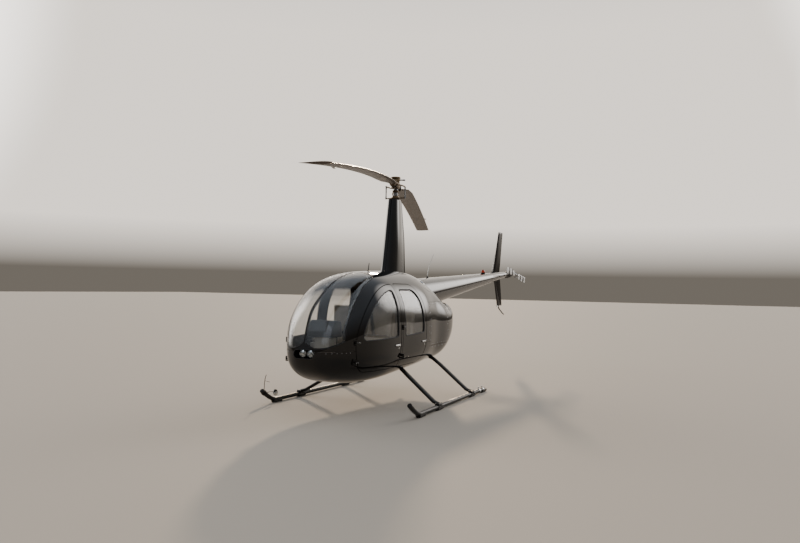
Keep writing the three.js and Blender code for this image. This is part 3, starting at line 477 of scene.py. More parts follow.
def add_node(tree, kind, settings=None, **inputs):
    """Adds a node. settings are its own properties, and a ramp's stops as (place, grey level or hex
    colour). inputs are values or (node, output) links, by the socket's name with _ for a space, or
    by number as in0, in1."""
    made = tree.nodes.new("ShaderNode" + kind)
    for key, value in (settings or {}).items():
        if key != "stops":
            setattr(made, key, value)
            continue
        elements = made.color_ramp.elements
        while len(elements) < len(value):
            elements.new(0.5)
        for element, (place, colour) in zip(elements, value):
            element.position = place
            element.color = linear(colour) if isinstance(colour, str) else (colour, colour, colour, 1)
    for key, value in inputs.items():
        numbered = key[:2] == "in" and key[2:].isdigit()
        socket = made.inputs[int(key[2:]) if numbered else key.replace("_", " ")]
        if isinstance(value, tuple) and isinstance(value[0], bpy.types.Node):
            tree.links.new(value[0].outputs[value[1]], socket)
        else:
            socket.default_value = value
    return made


MATERIALS = {}


def material(name, slot, colours, roughness, grain=(2.5, 0.02), metallic=0.0, patch=170, **sockets):
    """A material on the principled shader. A noise of patches patch mm wide mixes the two colours, one
    nine times finer mixes the two roughnesses, and grain is the relief's spacing and height in mm."""
    made = bpy.data.materials.new(name)
    made.use_nodes = True
    tree = made.node_tree
    tree.nodes.clear()
    # Each noise: the length of its waves in mm, its detail and its place along the fourth axis.
    tone_noise, rough_noise, relief_noise = (
        add_node(tree, "TexNoise", {"noise_dimensions": "4D"},
                 Vector=(add_node(tree, "TexCoord"), "Object"), W=seed, Scale=1 / (size * MM),
                 Detail=detail, Roughness=0.5)
        for size, detail, seed in ((patch, 4, 0), (patch / 9, 3, 2), (grain[0], 2, 5)))
    tone = add_node(tree, "ValToRGB", {"stops": [(0.35, colours[0]), (0.65, colours[1])]},
                    Fac=(tone_noise, "Fac"))
    rough = add_node(tree, "MapRange", Value=(rough_noise, "Fac"), From_Min=0.3, From_Max=0.7,
                     To_Min=roughness[0], To_Max=roughness[1])
    relief = add_node(tree, "Bump", Height=(relief_noise, "Fac"), Strength=1.0,
                      Distance=grain[1] * MM)
    shader = add_node(tree, "BsdfPrincipled", Base_Color=(tone, "Color"), Metallic=metallic,
                      Roughness=(rough, "Result"), Normal=(relief, "Normal"), **sockets)
    add_node(tree, "OutputMaterial", {"is_active_output": True}, Surface=(shader, "BSDF"))
    MATERIALS[name] = (made, slot)
    return tree


def add_stripes(tree, centre, stops, colour):
    """Bands of a second colour over a material's own, by distance in metres from a place."""
    reach = add_node(tree, "VectorMath", {"operation": "DISTANCE"},
                     in0=(add_node(tree, "TexCoord"), "Object"), in1=metres(centre))
    bands = add_node(tree, "ValToRGB", {"stops": stops}, Fac=(reach, "Value"))
    bands.color_ramp.interpolation = "CONSTANT"
    base = tree.nodes["Principled BSDF"].inputs["Base Color"]
    mixed = add_node(tree, "Mix", {"data_type": "RGBA"}, in0=(bands, "Color"),
                     in6=(base.links[0].from_node, "Color"), in7=linear(colour))
    tree.links.new(mixed.outputs[2], base)


def piece(name, shape, finish, body="fuselage", replaces=None, sharp=32, depths=()):
    """Makes an object of a shape or a list of them, gives it its material, and lets it ride on a body. Edges
    past sharp degrees stay crisp, and depths are those of polish()."""
    if isinstance(shape, list):
        shape = joined(*shape)
    mesh = shape if isinstance(shape, Mesh) else mesh_of(shape)
    mesh.name = name
    made, slot = MATERIALS[finish]
    mesh.materials.clear()
    mesh.materials.append(made)
    mesh.polygons.foreach_set("material_index", np.zeros(len(mesh.polygons), int))
    mesh.shade_smooth()
    mesh.set_sharp_from_angle(angle=math.radians(sharp))
    if depths:
        polish(mesh, depths)
    thing = added(name, mesh)
    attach(thing, body)
    if replaces:
        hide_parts(replaces)
    return thing


def paint_materials(paint, blades):
    """The painted surfaces. The relief's spacing is the length of each film's ripples."""
    # Two-stage polyurethane, sprayed and flatted: a near-black base under clear coat, which mirrors
    # the sky along the roof and lets the sides go dark.
    material("polyurethane gloss paint", "body_paint", (paint, "#0f0c0a"), (0.16, 0.26), (3.8, 0.015),
             Coat_Weight=1.0, Coat_IOR=1.42, Coat_Roughness=0.03, Specular_IOR_Level=0.0)
    # The same paint on thin riveted sheet: a little duller, with slow waves that bend its reflections.
    material("polyurethane paint on sheet", "body_paint", (paint, "#130f0d"), (0.2, 0.34), (17, 0.12),
             Coat_Weight=1.0, Coat_IOR=1.58, Coat_Roughness=0.08, Specular_IOR_Level=0.0)
    # The fins' sheet in satin paint, which mirrors less than the fuselage does.
    material("satin paint on sheet", "body_paint", ("#120d0a", "#1e1611"), (0.4, 0.55), (3.8, 0.02),
             Coat_Weight=0.45, Coat_Roughness=0.05, Specular_IOR_Level=0.0)
    # Brushed-on enamel over steel tube: black, with a soft and slightly uneven shine.
    material("satin black enamel", "skid_enamel", ("#0d0c0c", "#1a1714"), (0.3, 0.5), (1.1, 0.03),
             Specular_IOR_Level=0.22)
    # Matt brown blade paint with a fine orange peel, worn a little by rain.
    material("blade paint", "blade_paint", (blades, "#4a3a2a"), (0.3, 0.5), (1.4, 0.03), metallic=0.1)
    # Warning paint: bands about 118 mm wide, light and dark by turns from the hub outwards.
    striped = material("striped blade paint", "tail_blade_paint", ("#e4e1da", "#eeebe4"), (0.3, 0.45),
                       (1.1, 0.02))
    add_stripes(striped, TAIL_HUB, [(0, 0), (0.268, 1), (0.385, 0), (0.503, 1), (0.62, 0)], "#1f1c1a")


def metal_materials():
    """The bare metals. Polishing and turning marks are drawn 0.5 mm apart, coarser than they are,
    so that they show at all."""
    # Buffed sheet and handles: nearly a mirror, with a faint haze.
    material("polished aluminium", "steel", ("#b9bbbc", "#d6d7d6"), (0.12, 0.26), (0.55, 0.015), metallic=1.0)
    # Lathe-turned and ground steel: bright but softer than the polished parts.
    material("machined steel", "steel", ("#77787a", "#a2a3a5"), (0.22, 0.4), (0.45, 0.02), metallic=1.0)
    # Rolled steel strip bonded to the blades' edges, dulled by sand.
    material("stainless edge strip", "blade_paint", ("#8a8783", "#a5a19b"), (0.25, 0.4), (0.67, 0.02),
             metallic=1.0)
    # Drawn wire of the whip aerials, seen as a pale line.
    material("stainless wire", "black_trim", ("#a9a69f", "#c3c0b8"), (0.25, 0.4), (0.67, 0.01), metallic=1.0)
    # An exhaust's oxide colours: brown and straw patches as wide as the pipe.
    material("heat-stained steel", "steel", ("#4a3d33", "#7b7269"), (0.35, 0.55), (1.1, 0.03), metallic=0.9,
             patch=71)
    # Sand-cast housings with a grain of about 0.8 mm, which break up every highlight.
    material("cast aluminium", "cast_metal", ("#3c3a39", "#5c5955"), (0.38, 0.6), (0.77, 0.12), metallic=0.85)
    # Forgings in a dull bronze colour, which is a painted warm reflection of the low sun.
    material("cadmium-plated forging", "cast_metal", ("#4b3d2e", "#7a664b"), (0.36, 0.55), (0.77, 0.06),
             metallic=0.9)
    # Hard-faced shoes scraped by the ground: dark with bright patches about 33 mm wide.
    material("worn skid steel", "skid_enamel", ("#1b1a19", "#4a4744"), (0.35, 0.6), (0.7, 0.08), metallic=0.6,
             patch=33)
    # Vacuum-metallised bowls and mirror glass.
    material("lamp reflector", "lamp", ("#d8d8d6", "#efefec"), (0.06, 0.12), (5, 0.02), metallic=1.0)


def trim_materials(seats):
    """Plastics, rubber, leather and textiles."""
    # Injection-moulded ABS with a spark-eroded grain of 0.7 mm: black and not glossy.
    material("moulded black plastic", "black_trim", ("#0c0c0c", "#161616"), (0.4, 0.6), (0.67, 0.05))
    # Extruded window rubber: the dullest black of all.
    material("rubber seal", "black_trim", ("#0a0a0a", "#141313"), (0.55, 0.75), (0.83, 0.04))
    # Dial cards behind glass: black under one hard reflection.
    material("dial face", "grey_trim", ("#070707", "#0c0c0c"), (0.08, 0.14), (3.3, 0.01), Coat_Weight=1.0)
    # Screen-printed needles and marks, flat white.
    material("white marking", "grey_trim", ("#e9e7e0", "#f4f2ec"), (0.4, 0.5))
    # Woven belts, their ribs 0.6 mm apart.
    material("belt webbing", "grey_trim", ("#2b2c2e", "#38393b"), (0.7, 0.85), (0.62, 0.2))
    # Leathercloth on the walls: mid grey and dull.
    material("grey sheet trim", "grey_trim", ("#67645e", "#76726b"), (0.5, 0.7), (0.7, 0.05))
    # Glass-fibre seat boxes in a light gel coat, the palest thing behind the windscreen.
    material("pale seat shell", "grey_trim", ("#978f81", "#a79e8f"), (0.5, 0.65), (0.83, 0.05))
    # Cut pile whose tufts are 6 mm wide and 1.2 mm high.
    material("cut pile carpet", "carpet", ("#2c2825", "#403a34"), (0.9, 1.0), (1.1, 1.2), patch=6.2)
    # Corrected leather with pores 1.4 mm apart and a soft sheen.
    material("seat leather", "seat_leather", (seats, "#8a8072"), (0.42, 0.6), (1.4, 0.35))


def clear_materials():
    """Glass and acrylic."""
    # Pressed lamp glass, clear and wet-looking.
    material("lamp lens", "lamp", ("#dfe3e6", "#eef0f2"), (0.03, 0.06), (3.3, 0.02), Transmission_Weight=1.0,
             IOR=1.52)
    # A dyed dome that still lets half of the light through.
    material("red acrylic lens", "red_lens", ("#a52a10", "#cc4a22"), (0.05, 0.1), (3.3, 0.02),
             Transmission_Weight=0.5, IOR=1.49)
    # Thin sheet doesn't bend what is seen through it, so it mirrors by its coat alone, and part of the
    # light goes straight through, which lets daylight reach the seats.
    material("clear acrylic glazing", "window_glass", ("#eef1f1", "#f5f7f7"), (0.01, 0.035), (33, 0.02),
             Transmission_Weight=1.0, IOR=1.01, Coat_Weight=1.0, Coat_IOR=1.6, Coat_Roughness=0.0, Alpha=0.7)


class FinishSettings(PropertyGroup):
    """Colours of the machine's finishes."""
    paint: StringProperty(name="Paint", description="Body paint, as an sRGB hex value", default="#070606")
    blades: StringProperty(name="Blades", description="Main rotor blades' paint, sRGB hex", default="#3a2c20")
    seats: StringProperty(name="Seats", description="Seat leather, sRGB hex", default="#766d60")


class MakeFinishes(Operator):
    """Make the machine's materials"""
    bl_idname = "helicopter.finishes"
    bl_label = "Finishes"

    def execute(self, context):
        own = context.scene.helicopter_finish
        paint_materials(own.paint, own.blades)
        metal_materials()
        trim_materials(own.seats)
        clear_materials()
        return {"FINISHED"}


# The cabin and the cowlings

CABIN_WALL, LOWER_WALL = 30, 20
GLASS_DEPTH, GLASS_THICKNESS, PANE_GAP = 10, 6, 0.6
WAIST_Z, FIREWALL_X, STERN_X, COWL_FOOT, COWL_TOP = 830, 0, -900, 760, 1400
DOOR_GAP, DOOR_SWING_GAP, DOOR_CORNER, WINDOW_CORNER = 8, 14, 40, 50
# For cuts: further out than any part of the machine, and the reach in y of a cut through one side.
FAR, SIDE_REACH = 4000, (200, 900)
# Side view as x and z; a hinge line's x, its distance from the middle and the heights of its two arms.
DOORS = {
    "front": {
        "outline": [[1046, 560], [1046, 1650], [1230, 1636], [1420, 1588], [1600, 1500], [1752, 1385],
                    [1880, 1240], [1978, 1070], [2012, 900], [1990, 740], [1920, 610], [1830, 560]],
        "window": [[1118, 960], [1118, 1580], [1240, 1568], [1400, 1522], [1552, 1446], [1690, 1340],
                   [1800, 1215], [1876, 1090], [1905, 985], [1860, 945]],
        "hinge": (2030, 505, (690, 930)),
    },
    "rear": {
        "outline": [[982, 560], [982, 1655], [450, 1655], [330, 1600], [238, 1470], [190, 1250], [180, 760],
                    [240, 620], [330, 560]],
        "window": [[906, 960], [906, 1585], [470, 1585], [375, 1540], [310, 1440], [268, 1240], [268, 980]],
        "hinge": (1006, 652, (700, 1080)),
    },
}
# The windscreen's lower edge in front view, as y and z, and its rear edge in side view, as x and z.
SCREEN_EDGE = [[0, 948], [60, 905], [140, 868], [240, 868], [350, 905], [466, 985], [560, 1085], [700, 1260]]
SCREEN_SIDE = [[2150, 700], [2150, 1060], [2018, 1285], [1900, 1418], [1775, 1524], [1635, 1622],
               [1450, 1690], [1330, 1725], [1250, 1760], [1210, 1800], [1200, 2000], [2700, 2000],
               [2700, 700]]
SCREEN_BAR, SCREEN_CORNER = 12, 30
# The lamps' oval recess: its half width and half height, and how far back it is cut.
LAMP_Z, LAMP_SPACING, RECESS, RECESS_BACK = 800, 108, (150, 58), 2150
INTAKE_Z, INTAKE_RADIUS, INTAKE_BACK = 1060, 210, -1270
EXHAUST = [[-700, -190, 719], [-700, -190, 560], [-712, -190, 492], [-752, -190, 446], [-830, -190, 424]]
EXHAUST_RADIUS, EXHAUST_CLEARANCE, LEG_CLEARANCE = 32, 2, 4


@cache
def hull(depth):
    """The fuselage's closed form a depth under its skin."""
    return mesh_of(form(depth))


@cache
def wall(outer, inner):
    """The fuselage's wall between two depths under its skin."""
    return less(hull(outer), hull(inner))


def slab(low_x=-FAR, high_x=FAR, low_y=-FAR, high_y=FAR, low_z=-FAR, high_z=FAR):
    """A box that reaches past the machine on every side that isn't given."""
    return box((low_x, low_y, low_z), (high_x, high_y, high_z))


def side_cut(outline, radius, side, grow=0.0):
    """A prism across one side of the cabin, drawn in side view."""
    low, high = sorted((side * SIDE_REACH[0], side * SIDE_REACH[1]))
    return prism(grown(rounded(outline, radius), grow), low, high, 1)


def screen_front(raise_by=0.0):
    """The outline in front view of what lies above the windscreen's lower edge."""
    return rounded([[y, z + raise_by] for y, z in SCREEN_EDGE] + [[700, 2000], [0, 2000]], SCREEN_CORNER)


def screen_cut(side, shrink):
    """A windscreen pane's place: inside the front and the side outline, and outside the centre bar."""
    above = prism(screen_front(shrink), 900, 2600, 0)
    ahead = prism(rounded([[x + shrink, z] for x, z in SCREEN_SIDE], SCREEN_CORNER), -10, 900, 1)
    bar = slab(low_y=-20, high_y=SCREEN_BAR + shrink)
    return less(common(on_side(above, side), on_side(ahead, side)), on_side(bar, side))


def recess_cut(grow, start):
    """The lamps' oval recess in the nose, grown by a distance, from start forwards."""
    half_width, half_height = (value + grow for value in RECESS)
    angle = np.linspace(-np.pi / 2, np.pi / 2, 17)
    arc = np.stack([half_width - half_height + half_height * np.cos(angle), half_height * np.sin(angle)], -1)
    return prism(np.concatenate([arc, -arc]) + [0, LAMP_Z], start, 2600, 0)


class MakeCabin(Operator):
    """Make the cabin's frame and the nose, with their openings"""
    bl_idname = "helicopter.cabin"
    bl_label = "Cabin frame and nose"

    def execute(self, context):
        half_seam = context.scene.helicopter_body.seam / 2 / MM
        cabin = common(wall(0, CABIN_WALL), slab(low_x=FIREWALL_X + half_seam, low_z=WAIST_Z + half_seam))
        nose = common(wall(0, LOWER_WALL), slab(low_x=FIREWALL_X + half_seam, high_z=WAIST_Z - half_seam))
        for _, side in SIDES:
            for door in DOORS.values():
                opening = side_cut(door["outline"], DOOR_CORNER, side, DOOR_GAP)
                swing = side_cut([[x - DOOR_SWING_GAP, z] for x, z in door["outline"]], DOOR_CORNER, side)
                cabin, nose = less(cabin, opening, swing), less(nose, opening, swing)
            cabin = less(cabin, screen_cut(side, 0))
        recess = recess_cut(0, RECESS_BACK)
        cabin, nose = less(cabin, recess), less(nose, recess, *(leg_tube(leg, LEG_CLEARANCE) for leg in LEGS))
        piece("cabin_frame_shell", cabin, "polyurethane gloss paint", replaces="cabin_frame", depths=(0,))
        piece("nose_shell", nose, "polyurethane gloss paint", replaces="nose_and_belly", depths=(0,))
        return {"FINISHED"}


class MakeCowls(Operator):
    """Make the cowlings round the engine bay"""
    bl_idname = "helicopter.cowls"
    bl_label = "Cowlings"

    def execute(self, context):
        seam = context.scene.helicopter_body.seam / MM
        walls = common(wall(0, LOWER_WALL), slab(high_x=FIREWALL_X - seam / 2))
        walls = less(walls, cone_solid([CONE_FRONT[0] + 300, CONE_REAR[0]], 2))
        outlet = EXHAUST_RADIUS + EXHAUST_CLEARANCE
        belly = less(common(walls, slab(low_x=STERN_X + seam, high_z=COWL_FOOT - seam)),
                     *(leg_tube(leg, LEG_CLEARANCE) for leg in LEGS),
                     tube(smooth_path(EXHAUST, 32), outlet, 32, guide=ACROSS))
        intake = turned([(-1600, INTAKE_RADIUS), (INTAKE_BACK, INTAKE_RADIUS)], (0, 0, INTAKE_Z), FORWARD, 96)
        made = {
            "belly_cowl": belly,
            "upper_cowl": common(walls, slab(low_x=STERN_X + seam, low_z=COWL_TOP + seam)),
            "stern_cowl": less(common(walls, slab(high_x=STERN_X)), intake),
        }
        for name, side in SIDES:
            half = on_side(slab(low_x=STERN_X + seam, low_y=0, low_z=COWL_FOOT, high_z=COWL_TOP), side)
            made[f"side_cowl_{name}"] = common(walls, half)
        for name, mesh in made.items():
            piece(f"{name}_skin", mesh, "polyurethane gloss paint", replaces=name, depths=(0,))
        return {"FINISHED"}


class MakeDoors(Operator):
    """Make the windscreen's two panes, and the four doors with their windows"""
    bl_idname = "helicopter.doors"
    bl_label = "Windscreen and doors"

    def execute(self, context):
        for name, side in SIDES:
            pane = common(wall(0, GLASS_THICKNESS), screen_cut(side, PANE_GAP))
            piece(f"windscreen_pane_{name}", pane, "clear acrylic glazing", replaces=f"windscreen_{name}",
                  depths=(0, GLASS_THICKNESS))
        faces = (GLASS_DEPTH, GLASS_DEPTH + GLASS_THICKNESS)
        for name, side in SIDES:
            for place, door in DOORS.items():
                body = f"door_{place}_{name}"
                leaf = less(common(wall(0, CABIN_WALL), side_cut(door["outline"], DOOR_CORNER, side)),
                            side_cut(door["window"], WINDOW_CORNER, side))
                pane = common(wall(*faces), side_cut(door["window"], WINDOW_CORNER, side, -PANE_GAP))
                piece(f"{body}_leaf", leaf, "polyurethane gloss paint", body, body, depths=(0,))
                piece(f"{body}_pane", pane, "clear acrylic glazing", body, f"window_{place}_{name}",
                      depths=faces)
        return {"FINISHED"}


# Strips, seals and small parts on the skin

STRIP_STEP = 14
SCREW = [(-3, 5.5), (0.6, 5), (1.6, 2.5)]
FASTENER = [(-3, 9), (0.8, 8.5), (2, 5), (1.2, 1.5)]
FUEL_CAP = [(-4, 52), (3, 52), (7, 46), (7, 30), (12, 26), (12, 8)]
# A door's handle lies this high, and starts this far ahead of the door's rear edge and ends there.
HANDLE_Z, HANDLE_REACH, LOCK_Z = 852, (40, 168), 812


def hoop(rings):
    """A closed band: rings round a path that ends where it starts."""
    points = rings.reshape(-1, 3)
    number = np.arange(len(points)).reshape(rings.shape[:2])
    ahead = np.roll(number, -1, axis=0)
    faces = np.stack([number, np.roll(number, -1, axis=1), np.roll(ahead, -1, axis=1), ahead], -1)
    faces = faces.reshape(-1, 4)
    inward = volume(points, faces[:, [0, 1, 2, 0, 2, 3]].reshape(-1, 3)) < 0
    return points, (faces[:, ::-1] if inward else faces).tolist()


def collar(profile, centre, axis, sides=40):
    """A ring with a hole: a profile of (distance along the axis, radius) carried round the axis."""
    points, _ = turned(profile, centre, axis, sides)
    return hoop(points[:-2].reshape(len(profile), sides, 3).swapaxes(0, 1))


def evenly(outline, gap, ring=True):
    """Points at equal distances along an outline."""
    outline = np.concatenate([outline, outline[:1]]) if ring else np.asarray(outline, float)
    along = distances(outline)
    at = np.linspace(0, along[-1], max(int(along[-1] / gap), 4), endpoint=not ring)
    return np.stack([np.interp(at, along, column) for column in outline.T], -1)


def on_skin(places, side):
    """Points of the skin at places in side view, and the skin's normals there."""
    x, z = np.asarray(places, float).T
    points = xyz(x, side * skin_y(x, z), z)
    return points, skin_normal(points)[0]


def band(points, normals, half, low, high, ring=True):
    """A strip with rounded edges along points of the skin: half its width, and how far it reaches
    below and above them."""
    step = np.roll(points, -1, 0) - np.roll(points, 1, 0) if ring else np.gradient(points, axis=0)
    across = unit(np.cross(normals, step))
    edge = 0.4 * min(half, high - low)
    profile = np.array([[-half, low], [-half, high - edge], [edge - half, high], [half - edge, high],
                        [half, high - edge], [half, low]])
    rings = points[:, None] + profile[:, :1] * across[:, None] + profile[:, 1:] * normals[:, None]
    return hoop(rings) if ring else closed(rings)


def studs(places, side, profile, sides=12):
    """Small turned heads that stand on the skin at places in side view."""
    points, normals = on_skin(places, side)
    return joined(*(turned(profile, point, normal, sides) for point, normal in zip(points, normals)))


def nose_x(y, z):
    """x where the nose's skin passes y and z, found by halving."""
    low, high = np.full(len(y), 1200.0), np.full(len(y), 2424.9)
    for _ in range(40):
        middle = (low + high) / 2
        inside = skin_y(middle, z) > y
        low, high = np.where(inside, middle, low), np.where(inside, high, middle)
    return low


def hinge(x, y, level, side):
    """One hinge: the arm on the door with its barrel, and the two ears on the frame that hold it."""
    lead = x - np.array([0, 34, 60, 90])
    out = np.append(y, skin_y(lead[1:], level) + [6, 4, 2])
    arm = [tube(xyz(lead, side * out, level), (10.5, 4), 16, power=5),
           turned([(-14, 7), (-12, 9), (12, 9), (14, 7)], (x, side * y, level), UP, 20)]
    root = skin_y(x, level) - 12
    low_y, high_y = sorted((side * root, side * y))
    ears = []
    for up in (1, -1):
        near, far = sorted((level + up * 14.3, level + up * 32))
        ears.append(rounded_box((x - 8, low_y, near), (x + 8, high_y, far), 3))
        ears.append(turned([(near, 9), (far - 1, 9), (far, 8)], (x, side * y, 0), UP, 20))
    return arm, ears


def screen_strips(side):
    """The rubber along a windscreen pane's post and along its sill."""
    line = rounded(SCREEN_SIDE, SCREEN_CORNER)
    crown = section(line[:, 0])[1]
    post = line[(line[:, 0] < 2155) & (line[:, 1] > 960) & (line[:, 1] < crown - 4)]
    sill = screen_front()
    sill = sill[(sill[:, 1] < 1500) & (sill[:, 0] > SCREEN_BAR)]
    sill = evenly(sill[np.argsort(sill[:, 0])], STRIP_STEP, ring=False)
    front = xyz(nose_x(*sill.T), side * sill[:, 0], sill[:, 1])
    front = front[front[:, 0] > 2140]
    return joined(band(*on_skin(evenly(post, STRIP_STEP, ring=False), side), 10, -9, 1.2, ring=False),
                  band(front, skin_normal(front)[0], 10, -9, 1.2, ring=False))


class MakeDoorFittings(Operator):
    """Make the door windows' rubber bands, the hinges and the handles"""
    bl_idname = "helicopter.door_fittings"
    bl_label = "Door seals, hinges and handles"

    def execute(self, context):
        for name, side in SIDES:
            for place, door in DOORS.items():
                body = f"door_{place}_{name}"
                window = on_skin(evenly(rounded(door["window"], WINDOW_CORNER), STRIP_STEP), side)
                piece(f"{body}_seal", band(*window, 8, -17, 1.4), "rubber seal", body)
                x, y, levels = door["hinge"]
                arms, ears = zip(*(hinge(x, y, level, side) for level in levels))
                piece(f"{body}_hinge_arms", sum(arms, []), "satin black enamel", body)
                piece(f"{place}_{name}_hinge_ears", sum(ears, []), "satin black enamel")
                bolts = studs([[x - back, level] for level in levels for back in (55, 78)], side,
                              [(3, 5), (8, 5), (9.5, 3)], 8)
                rear = min(x for x, _ in door["outline"])
                grip = on_skin([[rear + reach, HANDLE_Z] for reach in np.linspace(*HANDLE_REACH, 12)], side)
                lock = studs([[rear + 62, LOCK_Z]], side, [(-3, 13), (3, 13), (4.5, 10)], 20)
                pivot = studs([[rear + 48, HANDLE_Z]], side, [(-3, 15), (12, 15), (13.5, 12)], 20)
                lever = band(*grip, 9, 4, 12, ring=False)
                piece(f"{body}_handle", [lever, lock, pivot, bolts], "polished aluminium", body)
        return {"FINISHED"}


class MakeTrims(Operator):
    """Make the windscreen's rubber, the cowlings' fasteners, the fuel caps and the roof's aerial"""
    bl_idname = "helicopter.trims"
    bl_label = "Windscreen rubber and fasteners"

    def execute(self, context):
        for name, side in SIDES:
            piece(f"windscreen_{name}_seal", screen_strips(side), "rubber seal")
            spots = [[x, z] for x in range(-840, -40, 100) for z in (COWL_FOOT + 22, COWL_TOP - 22)]
            spots += [[x, z] for x in (-872, -28) for z in range(850, 1450, 100)]
            spots += [[x, COWL_FOOT - 26] for x in range(-840, -40, 160)]
            spots += [[-925, z] for z in range(700, 1500, 130)]
            screws = [[x, WAIST_Z - 16] for x in range(2080, 2340, 50)]
            screws += [[30, z] for z in range(880, 1600, 90)]
            piece(f"cowl_fasteners_{name}", studs(spots, side, FASTENER, 14), "machined steel")
            piece(f"cabin_screws_{name}", studs(screws, side, SCREW), "machined steel")
            piece(f"fuel_cap_{name}", studs([[-330, 1690]], side, FUEL_CAP, 36), "polished aluminium")
        x = np.linspace(1252, 2382, 90)
        spine = xyz(x, 0, section(x)[1])
        beside = spine + [0, 1e-3, 0]
        strip = band(spine, skin_normal(beside)[0], SCREEN_BAR - 2, -4, 1.6, ring=False)
        piece("windscreen_centre_strip", strip, "rubber seal")
        foot_x = 823
        top = section(foot_x)[1]
        blade = tube([[foot_x, 0, top], [foot_x - 11, 0, top + 60], [foot_x - 23, 0, 1945]],
                     [[13, 5], [10, 4], [7, 3]], 16, guide=FORWARD)
        foot = turned([(-4, 24), (3, 24), (8, 12)], (foot_x, 0, top), UP, 28)
        piece("roof_aerial", [foot, blade], "moulded black plastic")
        return {"FINISHED"}


# A nose lamp, as profiles of (distance ahead of its mount, radius).
LAMP_MOUNT_X = 2266
LAMP_BOWL = [(0, 22), (4, 33), (58, 45), (64, 45), (65, 42), (60, 40), (42, 34), (24, 24), (14, 13)]
LAMP_LENS = [(62, 41), (68, 41.5), (73, 37), (77, 26), (79, 12)]
LAMP_BEZEL = [(61, 42), (61, 47), (70, 47), (72, 44), (70, 42)]
LAMP_BULB = [(14, 5), (22, 7), (40, 8), (48, 6), (50, 2)]


class MakeLamps(Operator):
    """Make the nose's lamp cup and its two lamps"""
    bl_idname = "helicopter.lamps"
    bl_label = "Nose lamps"

    def execute(self, context):
        cup = less(common(recess_cut(-0.4, 2240), form(0.4)), recess_cut(-7, 2264))
        piece("lamp_cup_moulding", cup, "moulded black plastic", replaces="lamp_cup")
        for name, side in SIDES:
            mount = (LAMP_MOUNT_X, side * LAMP_SPACING / 2, LAMP_Z)
            piece(f"lamp_bowl_{name}", turned(LAMP_BOWL, mount, FORWARD, 48), "lamp reflector",
                  replaces=f"landing_lamp_{name}")
            piece(f"lamp_lens_{name}", turned(LAMP_LENS, mount, FORWARD, 48), "lamp lens")
            piece(f"lamp_bezel_{name}", collar(LAMP_BEZEL, mount, FORWARD, 48), "polished aluminium")
            piece(f"lamp_bulb_{name}", turned(LAMP_BULB, mount, FORWARD, 20), "lamp lens")
        return {"FINISHED"}


# The cabin's inside and the engine bay

FLOOR_Z, FLOOR_THICKNESS = 555, 12
# What stands on the floor starts just above it, and the trim lies just inside the cabin's wall.
FLOOR_TOP, INSIDE_DEPTH, LINING_DEPTH = FLOOR_Z + FLOOR_THICKNESS + 0.5, 31, 37
HOOD = [[1800, 980], [1835, 1175], [1980, 1190], [2090, 1060], [2060, 980]]
PEDESTAL_X, PEDESTAL_TOP = (1822, 2008), 1058
BAR_X, BAR_Z, BAR_HALF, STICK_X = 1650, 1030, 298, 1690
PEDAL_Y, PEDAL_HALF_GAP = 290, 75
CRANKCASE, SUMP = rectangle(-850, 820, -190, 1100), rectangle(-700, 730, -340, 830)
CYLINDERS_X, CYLINDERS_Z, MOUNTS_X = (-760, -540, -320), 960, (-800, -240)


def soft_prism(outline, low, high, axis, radius, steps=4):
    """A convex outline's prism with rounded ends: each ring is drawn in along a quarter circle."""
    turn = np.linspace(0, np.pi / 2, steps + 1)
    rows = [(low + radius * (1 - math.sin(t)), radius * (1 - math.cos(t))) for t in turn[::-1]]
    rows += [(high - radius * (1 - math.sin(t)), radius * (1 - math.cos(t))) for t in turn]
    rings = np.zeros((len(rows), len(outline), 3))
    for ring, (place, inset) in zip(rings, rows):
        ring[:, [n for n in range(3) if n != axis]] = grown(outline, -inset)
        ring[:, axis] = place
    return closed(rings)


class MakeLining(Operator):
    """Make the carpet, the rear wall's panel and the roof's lining"""
    bl_idname = "helicopter.lining"
    bl_label = "Carpet and lining"

    def execute(self, context):
        inside = hull(INSIDE_DEPTH)
        top = FLOOR_Z + FLOOR_THICKNESS
        floor = common(box((60, -700, FLOOR_Z), (2230, 700, top)), inside)
        rear = common(box((20, -700, top + 1), (32, 700, 1900)), inside)
        lining = common(wall(INSIDE_DEPTH, LINING_DEPTH), slab(low_x=60, high_x=1190, low_z=1600))
        piece("carpet_sheet", floor, "cut pile carpet", replaces="cabin_floor")
        piece("rear_wall_panel", rear, "grey sheet trim", replaces="firewall")
        piece("roof_lining", lining, "grey sheet trim")
        return {"FINISHED"}


